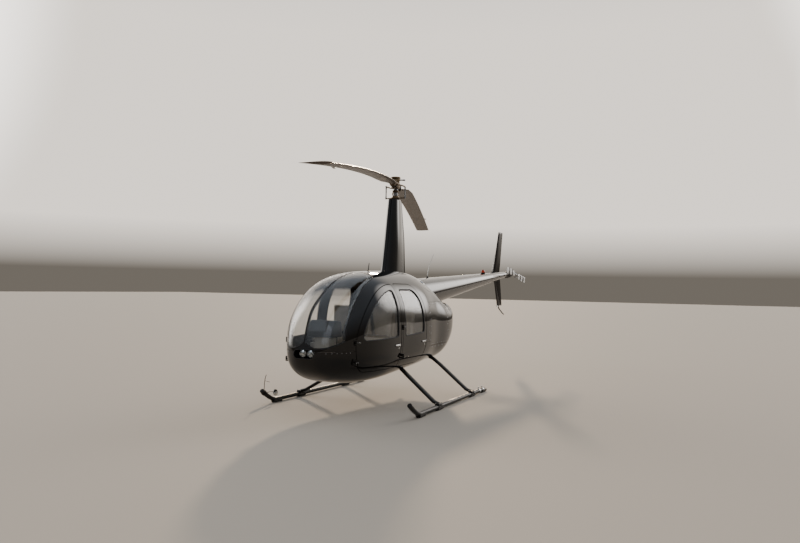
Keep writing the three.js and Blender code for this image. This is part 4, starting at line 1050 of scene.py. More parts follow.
class MakeConsole(Operator):
    """Make the console: its hood, its pedestal and the dials on both"""
    bl_idname = "helicopter.console"
    bl_label = "Console and dials"

    def execute(self, context):
        low, high = PEDESTAL_X
        pedestal = rounded(rectangle(low, FLOOR_TOP, high, PEDESTAL_TOP), 14)
        piece("console_hood", soft_prism(rounded(HOOD, 22), -184, 184, 1, 16), "moulded black plastic",
              replaces="instrument_console")
        piece("console_pedestal", soft_prism(pedestal, -104, 104, 1, 10), "pale seat shell")
        (foot_x, foot_z), (head_x, head_z) = HOOD[:2]
        lean = (head_x - foot_x) / (head_z - foot_z)
        dials = [(foot_x + lean * (z - foot_z), y, z, 33, (-1, 0, lean))
                 for y in (-126, -42, 42, 126) for z in (1045, 1125)]
        dials += [(low, y, z, 30, (-1, 0, 0)) for y in (-45, 45) for z in (780, 870, 945)]
        bezels, cards, needles = [], [], []
        for count, (x, y, z, radius, axis) in enumerate(dials):
            axis = unit(np.array(axis, float))
            centre = (x, y, z) + axis * 0.5
            bezel = [(0, radius), (5, radius + 4), (8, radius + 2), (8, radius - 2), (1, radius - 3)]
            bezels.append(collar(bezel, centre, axis, 32))
            cards.append(turned([(0, radius - 2), (2, radius - 2)], centre, axis, 32))
            hand = np.array([0.0, math.cos(1.7 * count), math.sin(1.7 * count)])
            start = centre + axis * 4
            needles.append(tube([start - hand * 6, start + hand * (radius - 9)], (1.2, 1.6), 6, guide=axis))
        piece("dial_bezels", bezels, "moulded black plastic")
        piece("dial_faces", cards, "dial face")
        piece("dial_needles", needles, "white marking")
        return {"FINISHED"}


class MakeControls(Operator):
    """Make the stick with its cross bar, the pedals and the collective lever"""
    bl_idname = "helicopter.controls"
    bl_label = "Controls"

    def execute(self, context):
        foot = (STICK_X, 0, FLOOR_TOP)
        stick = smooth_path([foot, [STICK_X, 0, 640], [1668, 0, 840], [BAR_X, 0, 1008]], 20)
        bar = [[BAR_X, y, BAR_Z] for y in (-BAR_HALF, -150, 0, 150, BAR_HALF)]
        column = [tube(stick, 15, 20, guide=ACROSS), tube(bar, 10, 18),
                  turned([(-24, 14), (-18, 22), (18, 22), (20, 14)], (BAR_X, 0, BAR_Z), UP, 24),
                  turned([(0, 33), (8, 32), (28, 20), (30, 12)], foot, UP, 28)]
        grips, pedals = [], []
        for _, side in SIDES:
            grip = [[BAR_X, side * y, BAR_Z] for y in (232, 265, BAR_HALF)]
            grips.append(tube(grip, [[12], [13], [11]], 18))
            for y in (side * PEDAL_Y - PEDAL_HALF_GAP, side * PEDAL_Y + PEDAL_HALF_GAP):
                arm = [[2010, y, FLOOR_TOP], [1990, y, 640], [1975, y, 712]]
                pedals.append(tube(arm, 7, 12, guide=ACROSS))
                pedals.append(rounded_box((1955, y - 40, 700), (1973, y + 40, 760), 6))
        lever = [[x, 35, z] for x, z in ((1560, FLOOR_TOP + 8), (1560, 640), (1620, 700), (1720, 745))]
        lever = smooth_path(lever, 16)
        collective = [tube(lever, 10, 16, guide=ACROSS), tube(lever[-5:], 15, 16, guide=ACROSS)]
        piece("cyclic_column", column, "satin black enamel", replaces="cyclic_stick")
        piece("cyclic_grips", grips, "rubber seal")
        piece("pedals", pedals, "satin black enamel")
        piece("collective_lever", collective, "satin black enamel")
        return {"FINISHED"}


class MakeEngine(Operator):
    """Make the engine's crankcase, and its finned cylinders and mounts"""
    bl_idname = "helicopter.engine"
    bl_label = "Engine"

    def execute(self, context):
        case = joined(soft_prism(rounded(CRANKCASE, 40), -130, 130, 1, 30),
                      soft_prism(rounded(SUMP, 20), -120, 120, 1, 16))
        # Nine cooling fins 20 mm apart, as a profile of (distance from the middle, radius).
        fins = [(110 + 20 * n + step, 72 if step < 9 else 60) for n in range(9) for step in (0, 8, 10, 18)]
        parts = []
        for x in CYLINDERS_X:
            for _, side in SIDES:
                middle = np.array([x, side * 306, CYLINDERS_Z])
                parts.append(turned(fins, (x, 0, CYLINDERS_Z), (0, side, 0), 28))
                parts.append(rounded_box(middle - [62, 20, 65], middle + [62, 20, 65], 14))
        for x in MOUNTS_X:
            foot = section(x)[0] + 51
            parts += [tube([[x, y, foot], [x, 0.6 * y, 850]], 20, 16, guide=FORWARD) for y in (-230, 230)]
        piece("engine_crankcase", common(case, hull(INSIDE_DEPTH)), "cast aluminium", replaces="engine_block")
        piece("engine_cylinders", parts, "cast aluminium")
        return {"FINISHED"}


# Seats

SEAT_Y = 270
# Each row: x of the back edge, depth, z of the box's top, z of the back's top.
SEAT_ROWS = {"front": (945, 600, 860, 1375), "rear": (190, 620, 790, 1390)}
PAD_GRID, PAD_PRESSURE, PAD_FRAMES, PAD_SWELL, PAD_CORNER, PAD_FILL = 9, 4, 20, 24, 22, 0.7
CHANNELS_Y, CHANNEL_HALF, CHANNEL_DEPTH, WELT_RADIUS = (-72, 72), 6, 5, 4.5
# Each pad as it is sewn: its block's two corners, the axis its face looks along, the far corner of
# the room it may fill, the welt's loop as two corners across that axis, and the welt's level on it.
PADS = {
    "cushion": (((8, -206, 2), (497, 206, 56)), 2, (505, 215, 80), (14, -201, 491, 201), 54),
    "back": (((14, -200, 6), (66, 200, 594)), 0, (84, 210, 600), (-198, 12, 198, 590), 64),
}
BACK_LEAN = 46
# A belt's half width and half thickness, and the lap belt's line over the cushion as y and height.
BELT, LAP_BELT = (23, 1.6), ((-214, 60), (-170, 94), (0, 99), (170, 94), (214, 60))


def swollen(block, limit):
    """A block blown up by a short cloth simulation under pressure, no point moved further than
    limit, as points and faces in millimetres."""
    scene = bpy.context.scene
    pad = added("pad", mesh_of(block))
    remesh = pad.modifiers.new("remesh", "REMESH")
    remesh.mode, remesh.voxel_size = "VOXEL", PAD_GRID * MM
    pad.data = evaluated(pad)
    pad.modifiers.clear()
    before = after = array_of(pad.data.vertices, "co", 3)
    cloth = pad.modifiers.new("cloth", "CLOTH").settings
    cloth.use_pressure, cloth.uniform_pressure_force = True, PAD_PRESSURE
    cloth.effector_weights.gravity = 0
    for number in range(1, PAD_FRAMES + 1):
        scene.frame_set(number)
    blown = pad.evaluated_get(bpy.context.evaluated_depsgraph_get()).to_mesh()
    after = array_of(blown.vertices, "co", 3)
    scene.frame_set(1)
    pad.modifiers.clear()
    move = after - before
    size = np.linalg.norm(move, axis=1, keepdims=True)
    move *= np.minimum(1, limit * MM / np.maximum(size, 1e-9))
    pad.data.vertices.foreach_set("co", (before + move).ravel())
    pad.modifiers.new("fine", "SUBSURF").levels = 1
    fine = evaluated(pad)
    bpy.data.objects.remove(pad)
    points = array_of(fine.vertices, "co", 3) / MM
    points[:, 0] -= MAST_X / MM
    return points, [list(face.vertices) for face in fine.polygons]


def stitched(part, axis, room):
    """A pad with two stitched channels pressed into its face, each a bell curve, kept in its room."""
    points, faces = part
    press = sum(np.exp(-((points[:, 1] - line) / CHANNEL_HALF) ** 2) for line in CHANNELS_Y)
    points[:, axis] -= CHANNEL_DEPTH * press * np.clip((points[:, axis] - room[axis] / 2) / 20, 0, 1)
    return np.clip(points, (0, -room[1], 0), room), faces


def welt(points, loop):
    """A piped edge: a thin tube along a pad's points that are nearest to a loop."""
    near = points[np.argmin(np.linalg.norm(points - loop[:, None], axis=2), axis=1)]
    near = (np.roll(near, 1, 0) + 2 * near + np.roll(near, -1, 0)) / 4
    direction = unit(np.roll(near, -1, 0) - np.roll(near, 1, 0))
    first = unit(np.cross(direction, [0.3, 0.4, 0.86]))
    second = np.cross(direction, first)
    angle = np.arange(8) * np.pi / 4
    spoke = np.cos(angle)[:, None] * first[:, None] + np.sin(angle)[:, None] * second[:, None]
    return hoop(near[:, None] + WELT_RADIUS * spoke)


def sewn_pad(block, axis, room, edge, level):
    """A seat's pad and its welt, from a row of PADS."""
    shape = stitched(swollen(rounded_box(*block, PAD_CORNER), PAD_SWELL), axis, room)
    loop = evenly(rounded(rectangle(*edge), 40), STRIP_STEP)
    return shape, welt(shape[0], np.insert(loop, axis, level, axis=1))


def place_pad(kind, seat, pad, matrix, place):
    """Puts a pad and its welt into a seat, by a matrix and a move."""
    (cushion, sewn), (welt_points, welt_faces) = pad
    made = piece(f"seat_{kind}_skin_{seat}", (cushion @ matrix + place, sewn), "seat leather",
                 replaces=f"seat_{kind}_{seat}")
    piece(f"seat_{kind}_welt_skin_{seat}", (welt_points @ matrix + place, welt_faces), "seat leather")


def belts(back_x, base_top, back_top, side):
    """A seat's shoulder belt and lap belt."""
    line = ((-30, 150, back_top + 40), (44, 150, back_top + 12), (74, 170, back_top - 180),
            (106, 210, base_top + 160), (150, 240, base_top + 98))
    shoulder = smooth_path([[back_x + ahead, side * y, z] for ahead, y, z in line], 30)
    lap = smooth_path([[back_x + 120, side * SEAT_Y + y, base_top + up] for y, up in LAP_BELT], 24)
    return [tube(shoulder, BELT, 10, guide=ACROSS, power=6), tube(lap, BELT, 10, guide=FORWARD, power=6)]


class MakeSeats(Operator):
    """Make the four seats: boxes, sewn cushions and backs, and belts"""
    bl_idname = "helicopter.seats"
    bl_label = "Seats"

    def execute(self, context):
        cushion, back = (sewn_pad(*PADS[kind]) for kind in ("cushion", "back"))
        for row, (back_x, depth, base_top, back_top) in SEAT_ROWS.items():
            low, high, foot = back_x + 4, back_x + depth - 30, FLOOR_TOP + 0.5
            outline = rounded([[low, foot], [high, foot], [high - 4, base_top], [low, base_top]], 14)
            seat_box = common(soft_prism(outline, -494, 494, 1, 12), hull(INSIDE_DEPTH))
            piece(f"seat_box_{row}", seat_box, "pale seat shell", replaces=f"seat_base_{row}")
            shorter = np.diag([(depth - 95) / PADS["cushion"][2][0], 1, 1])
            tall = PADS["back"][2][2]
            leaning = np.array([[1, 0, 0], [0, 1, 0], [-BACK_LEAN / tall, 0, (back_top - base_top) / tall]])
            for name, side in SIDES:
                seat, middle = f"{row}_{name}", side * SEAT_Y
                place_pad("cushion", seat, cushion, shorter, (back_x + 95, middle, base_top + 0.5))
                place_pad("back", seat, back, leaning, (back_x + 10, middle, base_top + 0.5))
                piece(f"belts_{seat}", belts(back_x, base_top, back_top, side), "belt webbing")
                low_corner = np.array([back_x + 98, middle - 28, base_top + 97])
                buckle = rounded_box(low_corner, low_corner + [48, 56, 13], 5)
                piece(f"buckle_{seat}", buckle, "machined steel")
        return {"FINISHED"}


# Landing gear

SKID_Y, SKID_RADIUS, SHOE = 1090, 30, 12
SKID_Z = SHOE + SKID_RADIUS
SKID_HEEL_X, SKID_BEND_X, SKID_TOE = -1045, 1420, (1740, 195)
SHOES_X, LUGS_X = (-1000, -480, 800, 1390), (-800, -960)
# A cross tube: x inside the fuselage, x at the skid, z inside the fuselage.
LEGS = {"front": (560, 812, 508), "rear": (-560, -470, 556)}
# Along a leg: share of the way from the inner x to the outer one, y, drop from the inner z (or None
# down at the skid), half width along the machine, half thickness across the leg.
LEG_STATIONS = [[0, 0, 0, 28, 28], [0, 330, 0, 28, 28], [0.12, 430, -32, 40, 26], [0.3, 560, -118, 52, 25],
                [0.9, 1010, None, 52, 24], [1, SKID_Y, None, 40, 22]]
SKID_END = [(-14, 26), (0.5, 28.5), (3, 27), (5, 20)]


def leg_tube(name, grow=0.0):
    """A cross tube from skid to skid: an ellipse carried along its bent path."""
    inside_x, foot_x, inside_z = LEGS[name]
    rows = []
    for share, y, drop, along, across in LEG_STATIONS:
        z = inside_z + drop if drop is not None else SKID_Z + (58 if share < 1 else SKID_RADIUS + 5)
        rows.append([inside_x + share * (foot_x - inside_x), y, z, along + grow, across + grow])
    rows = np.array(rows)
    rows = np.concatenate([rows[:0:-1] * [1, -1, 1, 1, 1], rows])
    along = distances(rows[:, :3])
    rows = np.stack([np.interp(np.linspace(0, along[-1], 90), along, column) for column in rows.T], -1)
    return tube(rows[:, :3], rows[:, 3:], 28, guide=FORWARD)


def toe_line(share):
    """x and z of the skid's toe at a share of its length: z rises with the share to the power 1.5."""
    return (SKID_BEND_X + share * (SKID_TOE[0] - SKID_BEND_X), SKID_Z + (SKID_TOE[1] - SKID_Z) * share ** 1.5)


def skid_shoe(x, side):
    """A wear shoe: a flat-bottomed U that hugs the tube from below, carried along the tube."""
    angle = np.radians(np.linspace(-8, -172, 15))
    inner = np.stack([30.3 * np.cos(angle), SKID_Z + 30.3 * np.sin(angle)], -1)
    half = np.array([[34, 46], [37, 34], [32, 16], [20, 3], [14, 0]])
    outer = np.concatenate([half * [-1, 1], half[::-1]])
    return prism(np.concatenate([inner, outer]) + [side * SKID_Y, 0], x - 90, x + 90, 0)


def hex_bolt(place, axis, radius, height):
    """A bolt head: six sides, its top edge turned down."""
    return turned([(-2, radius), (height - 1.5, radius), (height, radius * 0.85)], place, axis, 6)


def skid_clamp(x, y):
    """The saddle where a leg meets the skid, its two rings, and its four bolts."""
    ring = [(-13, 30.2), (-13, 35), (-10, 38), (10, 38), (13, 35), (13, 30.2)]
    parts, bolts = [], []
    for place in (x - 44, x + 44):
        parts.append(turned(ring, (place, y, SKID_Z), FORWARD, 36))
        bolts += [hex_bolt((place, y + across, SKID_Z + 47), UP, 8, 9) for across in (-24, 24)]
    parts.append(rounded_box((x - 58, y - 33, SKID_Z - 6), (x + 58, y + 33, SKID_Z + 48), 12))
    return parts, bolts


class MakeGear(Operator):
    """Make the skids, their shoes, the legs and the clamps between them"""
    bl_idname = "helicopter.gear"
    bl_label = "Landing gear"

    def execute(self, context):
        for name in LEGS:
            piece(f"leg_tube_{name}", leg_tube(name), "satin black enamel", replaces=f"cross_tube_{name}")
        for name, side in SIDES:
            y = side * SKID_Y
            x, z = toe_line(np.linspace(0, 1, 9)[1:])
            straight = [[heel, y, SKID_Z] for heel in np.linspace(SKID_HEEL_X, SKID_BEND_X, 12)]
            path = np.concatenate([straight, xyz(x, y, z)])
            piece(f"skid_tube_{name}", tube(path, SKID_RADIUS, 32), "satin black enamel",
                  replaces=f"skid_{name}")
            clamps, bolts = zip(*(skid_clamp(foot_x, y) for _, foot_x, _ in LEGS.values()))
            ends = [turned(SKID_END, end, end - before, 32) for end, before in (path[:2], path[:-3:-1])]
            piece(f"skid_shoes_{name}", [skid_shoe(x, side) for x in SHOES_X], "worn skid steel")
            piece(f"skid_clamps_{name}", sum(clamps, []) + ends, "satin black enamel")
            piece(f"skid_bolts_{name}", sum(bolts, []), "machined steel")
        return {"FINISHED"}


# Tail

# The cone's ends, each as x, z of its middle, radius.
CONE_FRONT, CONE_REAR = (-450, 1475, 262), (-5660, 1943, 60)
CONE_SEAMS = (-1560, -2180, -2810, -3440, -4060, -4660, -5230)
# Each bay of the cone laps over the next one by the sheet's thickness, seen as a fine step.
CONE_LAP, CONE_SHEET, RIVET_PITCH = 1.6, 6, 26
FIN_Y, STABILISER_Z = -125, 1915
# Whip aerials on the cone: the solid they stand for, x of the foot, x and z of the tip.
WHIPS = [("aerial_front", -1263, -1534, 2189), ("aerial_rear", -4780, -4971, 2356)]
WHIP_FOOT = [(-6, 25), (2, 25), (6, 19), (18, 11), (32, 8), (34, 6)]
BEACON_X = -4170
TAIL_HUB, TAIL_ROTOR_RADIUS, TAIL_PARK, TAIL_CHORD = (-5893, 215, 1940), 737, math.radians(-7), 130
# Fins: place along the span, x of the leading edge, chord, thickness.
UPPER_FIN = [[1985, -5215, 470, 42], [2200, -5310, 440, 40], [2600, -5470, 370, 34], [2880, -5585, 320, 28],
             [2905, -5610, 285, 18]]
LOWER_FIN = [[1240, -5560, 330, 24], [1262, -5540, 355, 30], [1600, -5400, 410, 36], [1845, -5290, 450, 40]]
STABILISER = [[-145.3, -5290, 360, 40], [-880, -5330, 320, 34], [-905, -5350, 285, 20]]
TAIL_GUARD = [[-5640, 1290], [-5648, 1225], [-5700, 1175], [-5790, 1137], [-5910, 1085], [-6070, 1034]]
# The gearbox's three castings as (distance along the axis, radius): the flange on the cone, the
# elbow between the shafts and the housing of the rotor's shaft.
FLANGE = [(0, 52), (2, 63), (16, 64), (20, 58), (86, 51), (92, 58), (104, 58), (106, 54)]
ELBOW = [(0, 46), (30, 52), (96, 58), (120, 62), (150, 58), (178, 40), (190, 16)]
SHAFT_HOUSING = [(-58, 40), (-54, 66), (-40, 72), (20, 70), (34, 62), (48, 56), (80, 50), (92, 46)]


def cone_at(x):
    """Middle height and radius of the tail cone at x."""
    share = (x - CONE_FRONT[0]) / (CONE_REAR[0] - CONE_FRONT[0])
    return [front + share * (rear - front) for front, rear in zip(CONE_FRONT[1:], CONE_REAR[1:])]


def cone_solid(x, grow, sides=64):
    """The cone through stations x, its radius grown by a distance there."""
    x = np.asarray(x, float)
    z, radius = cone_at(x)
    return tube(xyz(x, 0, z), (radius + grow)[:, None], sides)


def wing_ring(thickness, steps=14):
    """A wing section as shares of its chord and half thicknesses: the usual curve of a square root and
    four powers, blunt at its trailing edge."""
    share = 0.5 * (1 - np.cos(np.pi * np.arange(steps + 1) / steps))
    half = 5 * (0.2969 * np.sqrt(share) - 0.126 * share - 0.3516 * share ** 2 + 0.2843 * share ** 3
                - 0.1036 * share ** 4)
    half = np.where(share > 0.3, np.maximum(half, 0.06), half) * thickness
    return (np.concatenate([share, share[-2:0:-1]]), np.concatenate([half, -half[-2:0:-1]]))


def wing(rows, flat=False, count=24):
    """A wing through rows of (span, leading edge, chord, thickness), joined by straight lines: upright
    beside the cone, or lying flat as the stabiliser does."""
    rows = np.array(rows, float)
    spans = np.unique(np.concatenate([rows[:, 0], np.linspace(rows[:, 0].min(), rows[:, 0].max(), count)]))
    order = np.argsort(rows[:, 0])
    lead, chord, thickness = (np.interp(spans, rows[order, 0], rows[order, n]) for n in (1, 2, 3))
    rings = []
    for span, x, c, t in zip(spans, lead, chord, thickness):
        share, half = wing_ring(t)
        along = x - share * c
        rings.append(xyz(along, span, STABILISER_Z + half) if flat else xyz(along, FIN_Y + half, span))
    return closed(rings)


def rivet_ring(x):
    """Domed rivet heads evenly round the cone at x: one head's rings, carried round by an angle."""
    z, radius = cone_at(x)
    count = int(radius * 2 * np.pi / RIVET_PITCH)
    turn = np.arange(count) * 2 * np.pi / count
    around = np.arange(6) * np.pi / 3
    size, rise = np.array([3.6, 2.6]), np.array([0.4, 1.5])
    head = xyz(size[:, None] * np.cos(around), size[:, None] * np.sin(around), rise[:, None])
    _, faces = closed(head)
    head = np.concatenate([head.reshape(-1, 3), [[0, 0, -0.5], [0, 0, 1.8]]])
    out = radius + head[:, 2]
    angle = turn[:, None] - head[None, :, 1] / radius
    points = xyz(x + head[:, 0], out * np.cos(angle), z + out * np.sin(angle)).reshape(-1, 3)
    return points, [[index + len(head) * n for index in face] for n in range(count) for face in faces]


class MakeTailCone(Operator):
    """Make the tail cone with its lapped seams, and its rivets"""
    bl_idname = "helicopter.tail_cone"
    bl_label = "Tail cone"

    def execute(self, context):
        stops = (CONE_FRONT[0], *CONE_SEAMS, CONE_REAR[0])
        x = [place for start, end in zip(stops, stops[1:]) for place in (start, end + 0.5)]
        lift = np.tile([-0.2, CONE_LAP - 0.2], len(stops) - 1)
        lift[-1] = -0.2
        hollow = cone_solid([CONE_FRONT[0] + 60, CONE_REAR[0] + 60], -CONE_SHEET)
        piece("tail_cone_skin", less(cone_solid(x, lift, 96), hollow), "polyurethane paint on sheet",
              replaces="tail_cone", sharp=20)
        rivets = [rivet_ring(seam + offset) for seam in CONE_SEAMS for offset in (-14, 14)]
        piece("tail_cone_rivets", rivets, "polyurethane paint on sheet")
        return {"FINISHED"}


class MakeTailGearbox(Operator):
    """Make the tail gearbox with its bolts and its oil glass"""
    bl_idname = "helicopter.tail_gearbox"
    bl_label = "Tail gearbox"

    def execute(self, context):
        x, z, _ = CONE_REAR
        hub_x, _, hub_z = TAIL_HUB
        casting = [
            turned(FLANGE, (x - 4, 0, z), (-1, 0, 0), 40),
            turned(ELBOW, (x - 100, 0, z), (hub_x - x + 100, 0, hub_z - z), 40),
            turned(SHAFT_HOUSING, (hub_x, 0, hub_z), ACROSS, 40),
            *(rounded_box((x - 96, -5, z + low), (x - 14, 5, z + low + 14), 3) for low in (-58, 44)),
        ]
        bolts = [hex_bolt((x - 12, 51 * math.cos(a), z + 51 * math.sin(a)), (-1, 0, 0), 6, 8)
                 for a in np.arange(8) * np.pi / 4 + 0.2]
        bolts += [hex_bolt((hub_x + 58 * math.cos(a), 20, hub_z + 58 * math.sin(a)), ACROSS, 6, 20)
                  for a in np.arange(6) * np.pi / 3]
        oil_glass = turned([(0, 12), (3, 15), (8, 15), (10, 11)], (hub_x, -58, hub_z - 20), (0, -1, 0), 20)
        piece("tail_gearbox_casting", casting, "cast aluminium", replaces="tail_gearbox")
        piece("tail_gearbox_bolts", bolts, "machined steel")
        piece("tail_gearbox_oil_glass", oil_glass, "lamp lens")
        return {"FINISHED"}


class MakeFins(Operator):
    """Make the fins on their root block, the stabiliser and the bent tail guard"""
    bl_idname = "helicopter.fins"
    bl_label = "Fins and stabiliser"

    def execute(self, context):
        wings = {"upper_fin": wing(UPPER_FIN), "lower_fin": wing(LOWER_FIN),
                 "stabiliser": wing(STABILISER, flat=True)}
        for name, shape in wings.items():
            piece(f"{name}_skin", shape, "satin paint on sheet", replaces=name)
        guard = smooth_path([[x, FIN_Y, z] for x, z in TAIL_GUARD], 36)
        piece("tail_guard", tube(guard, 13, 20, guide=ACROSS), "satin black enamel")
        root = rounded_box((-5640, FIN_Y - 20, 1845.3), (-5260, -46, 1984.7), 8)
        piece("fin_root_block", root, "satin paint on sheet", replaces="fin_root")
        screws = [turned([(0, 6), (1.5, 5.5), (2.5, 3)], (x, FIN_Y - 20, z), (0, -1, 0), 10)
                  for x in range(-5620, -5270, 55) for z in (1858, 1972)]
        piece("fin_root_screws", screws, "machined steel")
        return {"FINISHED"}


class MakeTailLights(Operator):
    """Make the red beacon on the cone, the tail light and the whip aerials"""
    bl_idname = "helicopter.tail_lights"
    bl_label = "Tail lights and aerials"

    def execute(self, context):
        place = (BEACON_X, 0, sum(cone_at(BEACON_X)))
        base = turned([(-16, 40), (0, 46), (14, 46), (20, 44), (22, 30)], place, UP, 40)
        piece("beacon_base", base, "moulded black plastic")
        dome = [(20, 41), (30, 41)]
        dome += [(30 + 54 * math.sin(a), 41 * math.cos(a)) for a in np.linspace(0.1, 1.45, 12)]
        piece("beacon_lens", turned(dome, place, UP, 40), "red acrylic lens", replaces="beacon")
        lens = [(-4, 12), (0, 20), (14, 20)]
        lens += [(14 + 18 * math.sin(a), 20 * math.cos(a)) for a in np.linspace(0.1, 1.4, 8)]
        piece("tail_light", turned(lens, (-5582, FIN_Y, 1243), (0.3, 0, -1), 24), "lamp lens")
        feet = []
        for name, x, tip_x, tip_z in WHIPS:
            foot = sum(cone_at(x))
            path = smooth_path([[x, 0, foot + 2], [x + 0.26 * (tip_x - x), 0, foot + 0.45 * (tip_z - foot)],
                                [tip_x, 0, tip_z]], 16)
            piece(f"{name}_rod", tube(path, np.linspace(6, 3, 16)[:, None], 12, guide=ACROSS),
                  "stainless wire", replaces=name)
            feet.append(turned(WHIP_FOOT, (x, 0, foot), UP, 24))
        piece("aerial_feet", feet, "moulded black plastic")
        return {"FINISHED"}


def parked(part):
    """Turns what is drawn round the tail rotor's shaft to where that rotor stands."""
    points, faces = part
    x, y, z = np.asarray(points, float).T
    c, s = math.cos(TAIL_PARK), math.sin(TAIL_PARK)
    return xyz(x * c + z * s, y, z * c - x * s) + TAIL_HUB, faces


def tail_blade(side):
    """A tail rotor blade: the wing section carried outwards, narrower and thicker at its root."""
    tip = TAIL_ROTOR_RADIUS
    span = [150.5, 156, 175, 200, *np.linspace(215, tip - 14, 26), tip - 8, tip - 4, tip - 1.5, tip]
    width = TAIL_CHORD * np.interp(span, [150, 200, 215, tip - 14, tip], [0.5, 0.9, 1, 1, 0.93])
    thickness = np.interp(span, [150, 215, tip - 8, tip], [24, 15, 15, 7])
    rings = []
    for radius, chord, thick in zip(span, width, thickness):
        share, half = wing_ring(thick, 10)
        rings.append(xyz(side * radius, half, side * chord * (share - 0.4)))
    return closed(rings)


class MakeTailRotor(Operator):
    """Make the tail rotor's hub, pitch arms and striped blades"""
    bl_idname = "helicopter.tail_rotor"
    bl_label = "Tail rotor"

    def execute(self, context):
        centre = (0, 0, 0)
        hub = [
            turned([(-122, 19), (30, 19), (34, 15)], centre, ACROSS, 28),
            rounded_box((-96, -16, -25), (96, 16, 25), 9),
            turned([(-34, 13), (34, 13)], centre, UP, 20),
            turned([(-76, 24), (-74, 34), (-66, 36), (-58, 34), (-56, 24)], centre, ACROSS, 32),
            turned([(-62, 46), (-60, 52), (-48, 52), (-46, 46)], centre, ACROSS, 36),
        ]
        for side in (1, -1):
            x = side * 104
            hub += [
                turned([(88, 20), (100, 23), (150, 23), (156, 20)], centre, (side, 0, 0), 24),
                tube([[side * 20, -64, 0], [side * 105, -64, side * 44]], (9, 6), 12, guide=ACROSS),
                tube([[x, -66, side * 42], [x, 4, side * 44]], 5, 12, guide=FORWARD),
                tube([[x, 0, side * 48], [side * 120, 0, side * 10]], (7, 9), 12, guide=ACROSS),
                turned([(-12, 9), (12, 9)], (x, -64, side * 43), ACROSS, 14),
            ]
        nuts = [hex_bolt((0, 0, side * 33), (0, 0, side), 12, 12) for side in (1, -1)]
        piece("tail_rotor_hub_parts", parked(joined(*hub)), "machined steel", "tail_rotor", "tail_rotor_hub")
        piece("tail_rotor_nuts", parked(joined(*nuts)), "machined steel", "tail_rotor")
        for name, side in (("tail_blade_fore", 1), ("tail_blade_aft", -1)):
            piece(f"{name}_skin", parked(tail_blade(side)), "striped blade paint", "tail_rotor", name)
        return {"FINISHED"}


# Main rotor

ROTOR_RADIUS, ROTOR_AZIMUTH, ROTOR_TEETER = 5030, math.radians(19.4), 0.034
BLADE_DROOP, BLADE_DROOP_POWER, BLADE_PITCH = 413, 1.53, math.radians(-4.5)
BLADE_CHORD, BLADE_THICKNESS, BLADE_ROOT, BLADE_NOSE_SHARE = 272, 32, 470, 0.36
# The chord's share of its full width at places along the blade.
BLADE_CHORDS = np.array([[BLADE_ROOT, 0.62], [BLADE_ROOT + 60, 0.85], [900, 1.0], [ROTOR_RADIUS, 1.0]])
EDGE_STRIP_X, TRIM_TAB_X, BOLT_LINE_Y = 1900, 3720, 20
# The doubler plates at a blade's root: width, and how far out each one ends.
DOUBLERS = ((100, 640), (70, 760), (44, 880))
HUB_Z, HUB_TOP_Z, FAIRING_TOP_Z, SWASHPLATE_ARM_Z, PITCH_LINK = 3148, 3277, 2925, 2957, (50, 150)
# The mast's fairing: z, x of its nose, x of its tail, thickness.
FAIRING = np.array([[1762, 378, -368, 215], [1870, 352, -358, 205], [2050, 318, -345, 192],
                    [2330, 266, -322, 178], [2640, 220, -264, 155], [FAIRING_TOP_Z, 176, -206, 132]])
# Turned parts round the mast, as (z, radius).
CAP = [(HUB_TOP_Z - 28, 66), (HUB_TOP_Z - 25, 73), (HUB_TOP_Z - 5, 73), (HUB_TOP_Z, 68)]
SHAFT = [(FAIRING_TOP_Z - 240, 35), (HUB_TOP_Z - 40, 35)]
DRIVE_COLLAR = [(3040, 36), (3044, 48), (3072, 48), (3076, 36)]
TURNING_RING = [(2947.8, 39), (2947.8, 68), (2951, 73), (2962, 73), (2966, 68), (2972, 52), (2990, 46),
                (2992, 39)]
STILL_RING = [(2925.3, 40), (2925.3, 60), (2928, 66), (2942, 66), (2946, 60), (2946, 40)]
TEETER_BOLT = [(-146, 9), (-143, 13), (-116, 14), (-112, 11), (112, 11), (116, 14), (143, 13), (146, 9)]


def blade_z(radius, side):
    """Height of a blade's middle: the teeter tilts the pair, and the droop grows with a power of the
    radius."""
    return HUB_Z - side * ROTOR_TEETER * radius - BLADE_DROOP * (radius / ROTOR_RADIUS) ** BLADE_DROOP_POWER


def blade_path(radii, side, y=0.0):
    """Points along a blade's middle line, or beside it."""
    radii = np.asarray(radii, float)
    return xyz(side * radii, y, blade_z(radii, side))


def spun(*parts):
    """Parts drawn with the blades along x, joined and turned to where the rotor is parked."""
    points, faces = joined(*parts)
    x, y, z = points.T
    c, s = math.cos(ROTOR_AZIMUTH), math.sin(ROTOR_AZIMUTH)
    return xyz(x * c - y * s, x * s + y * c, z), faces


def blade_surface(side, stations, grow=0.0, nose=None, steps=16):
    """A blade: the wing section carried through stations along the drooping line. nose keeps only the
    chord's foremost share, as the wear strip does, and grow lifts it off the skin."""
    rings = []
    for radius in stations:
        chord = BLADE_CHORD * np.interp(radius, *BLADE_CHORDS.T)
        thickness = BLADE_THICKNESS * np.interp(radius, [ROTOR_RADIUS - 60, ROTOR_RADIUS], [1, 0.6]) + grow
        share, half = wing_ring(thickness, steps)
        if nose:
            upper = np.interp(share * nose, share[:steps + 1], half[:steps + 1])
            share, half = share * nose, upper * np.sign(np.where(half == 0, 1, half))
        pitch = math.tan(BLADE_PITCH * min(1.0, 1.25 * (1 - radius / ROTOR_RADIUS)))
        along = chord * (BLADE_NOSE_SHARE - share)
        rings.append(xyz(side * radius, side * (along + grow / 2),
                         blade_z(radius, side) + half + along * pitch))
    return closed(rings)


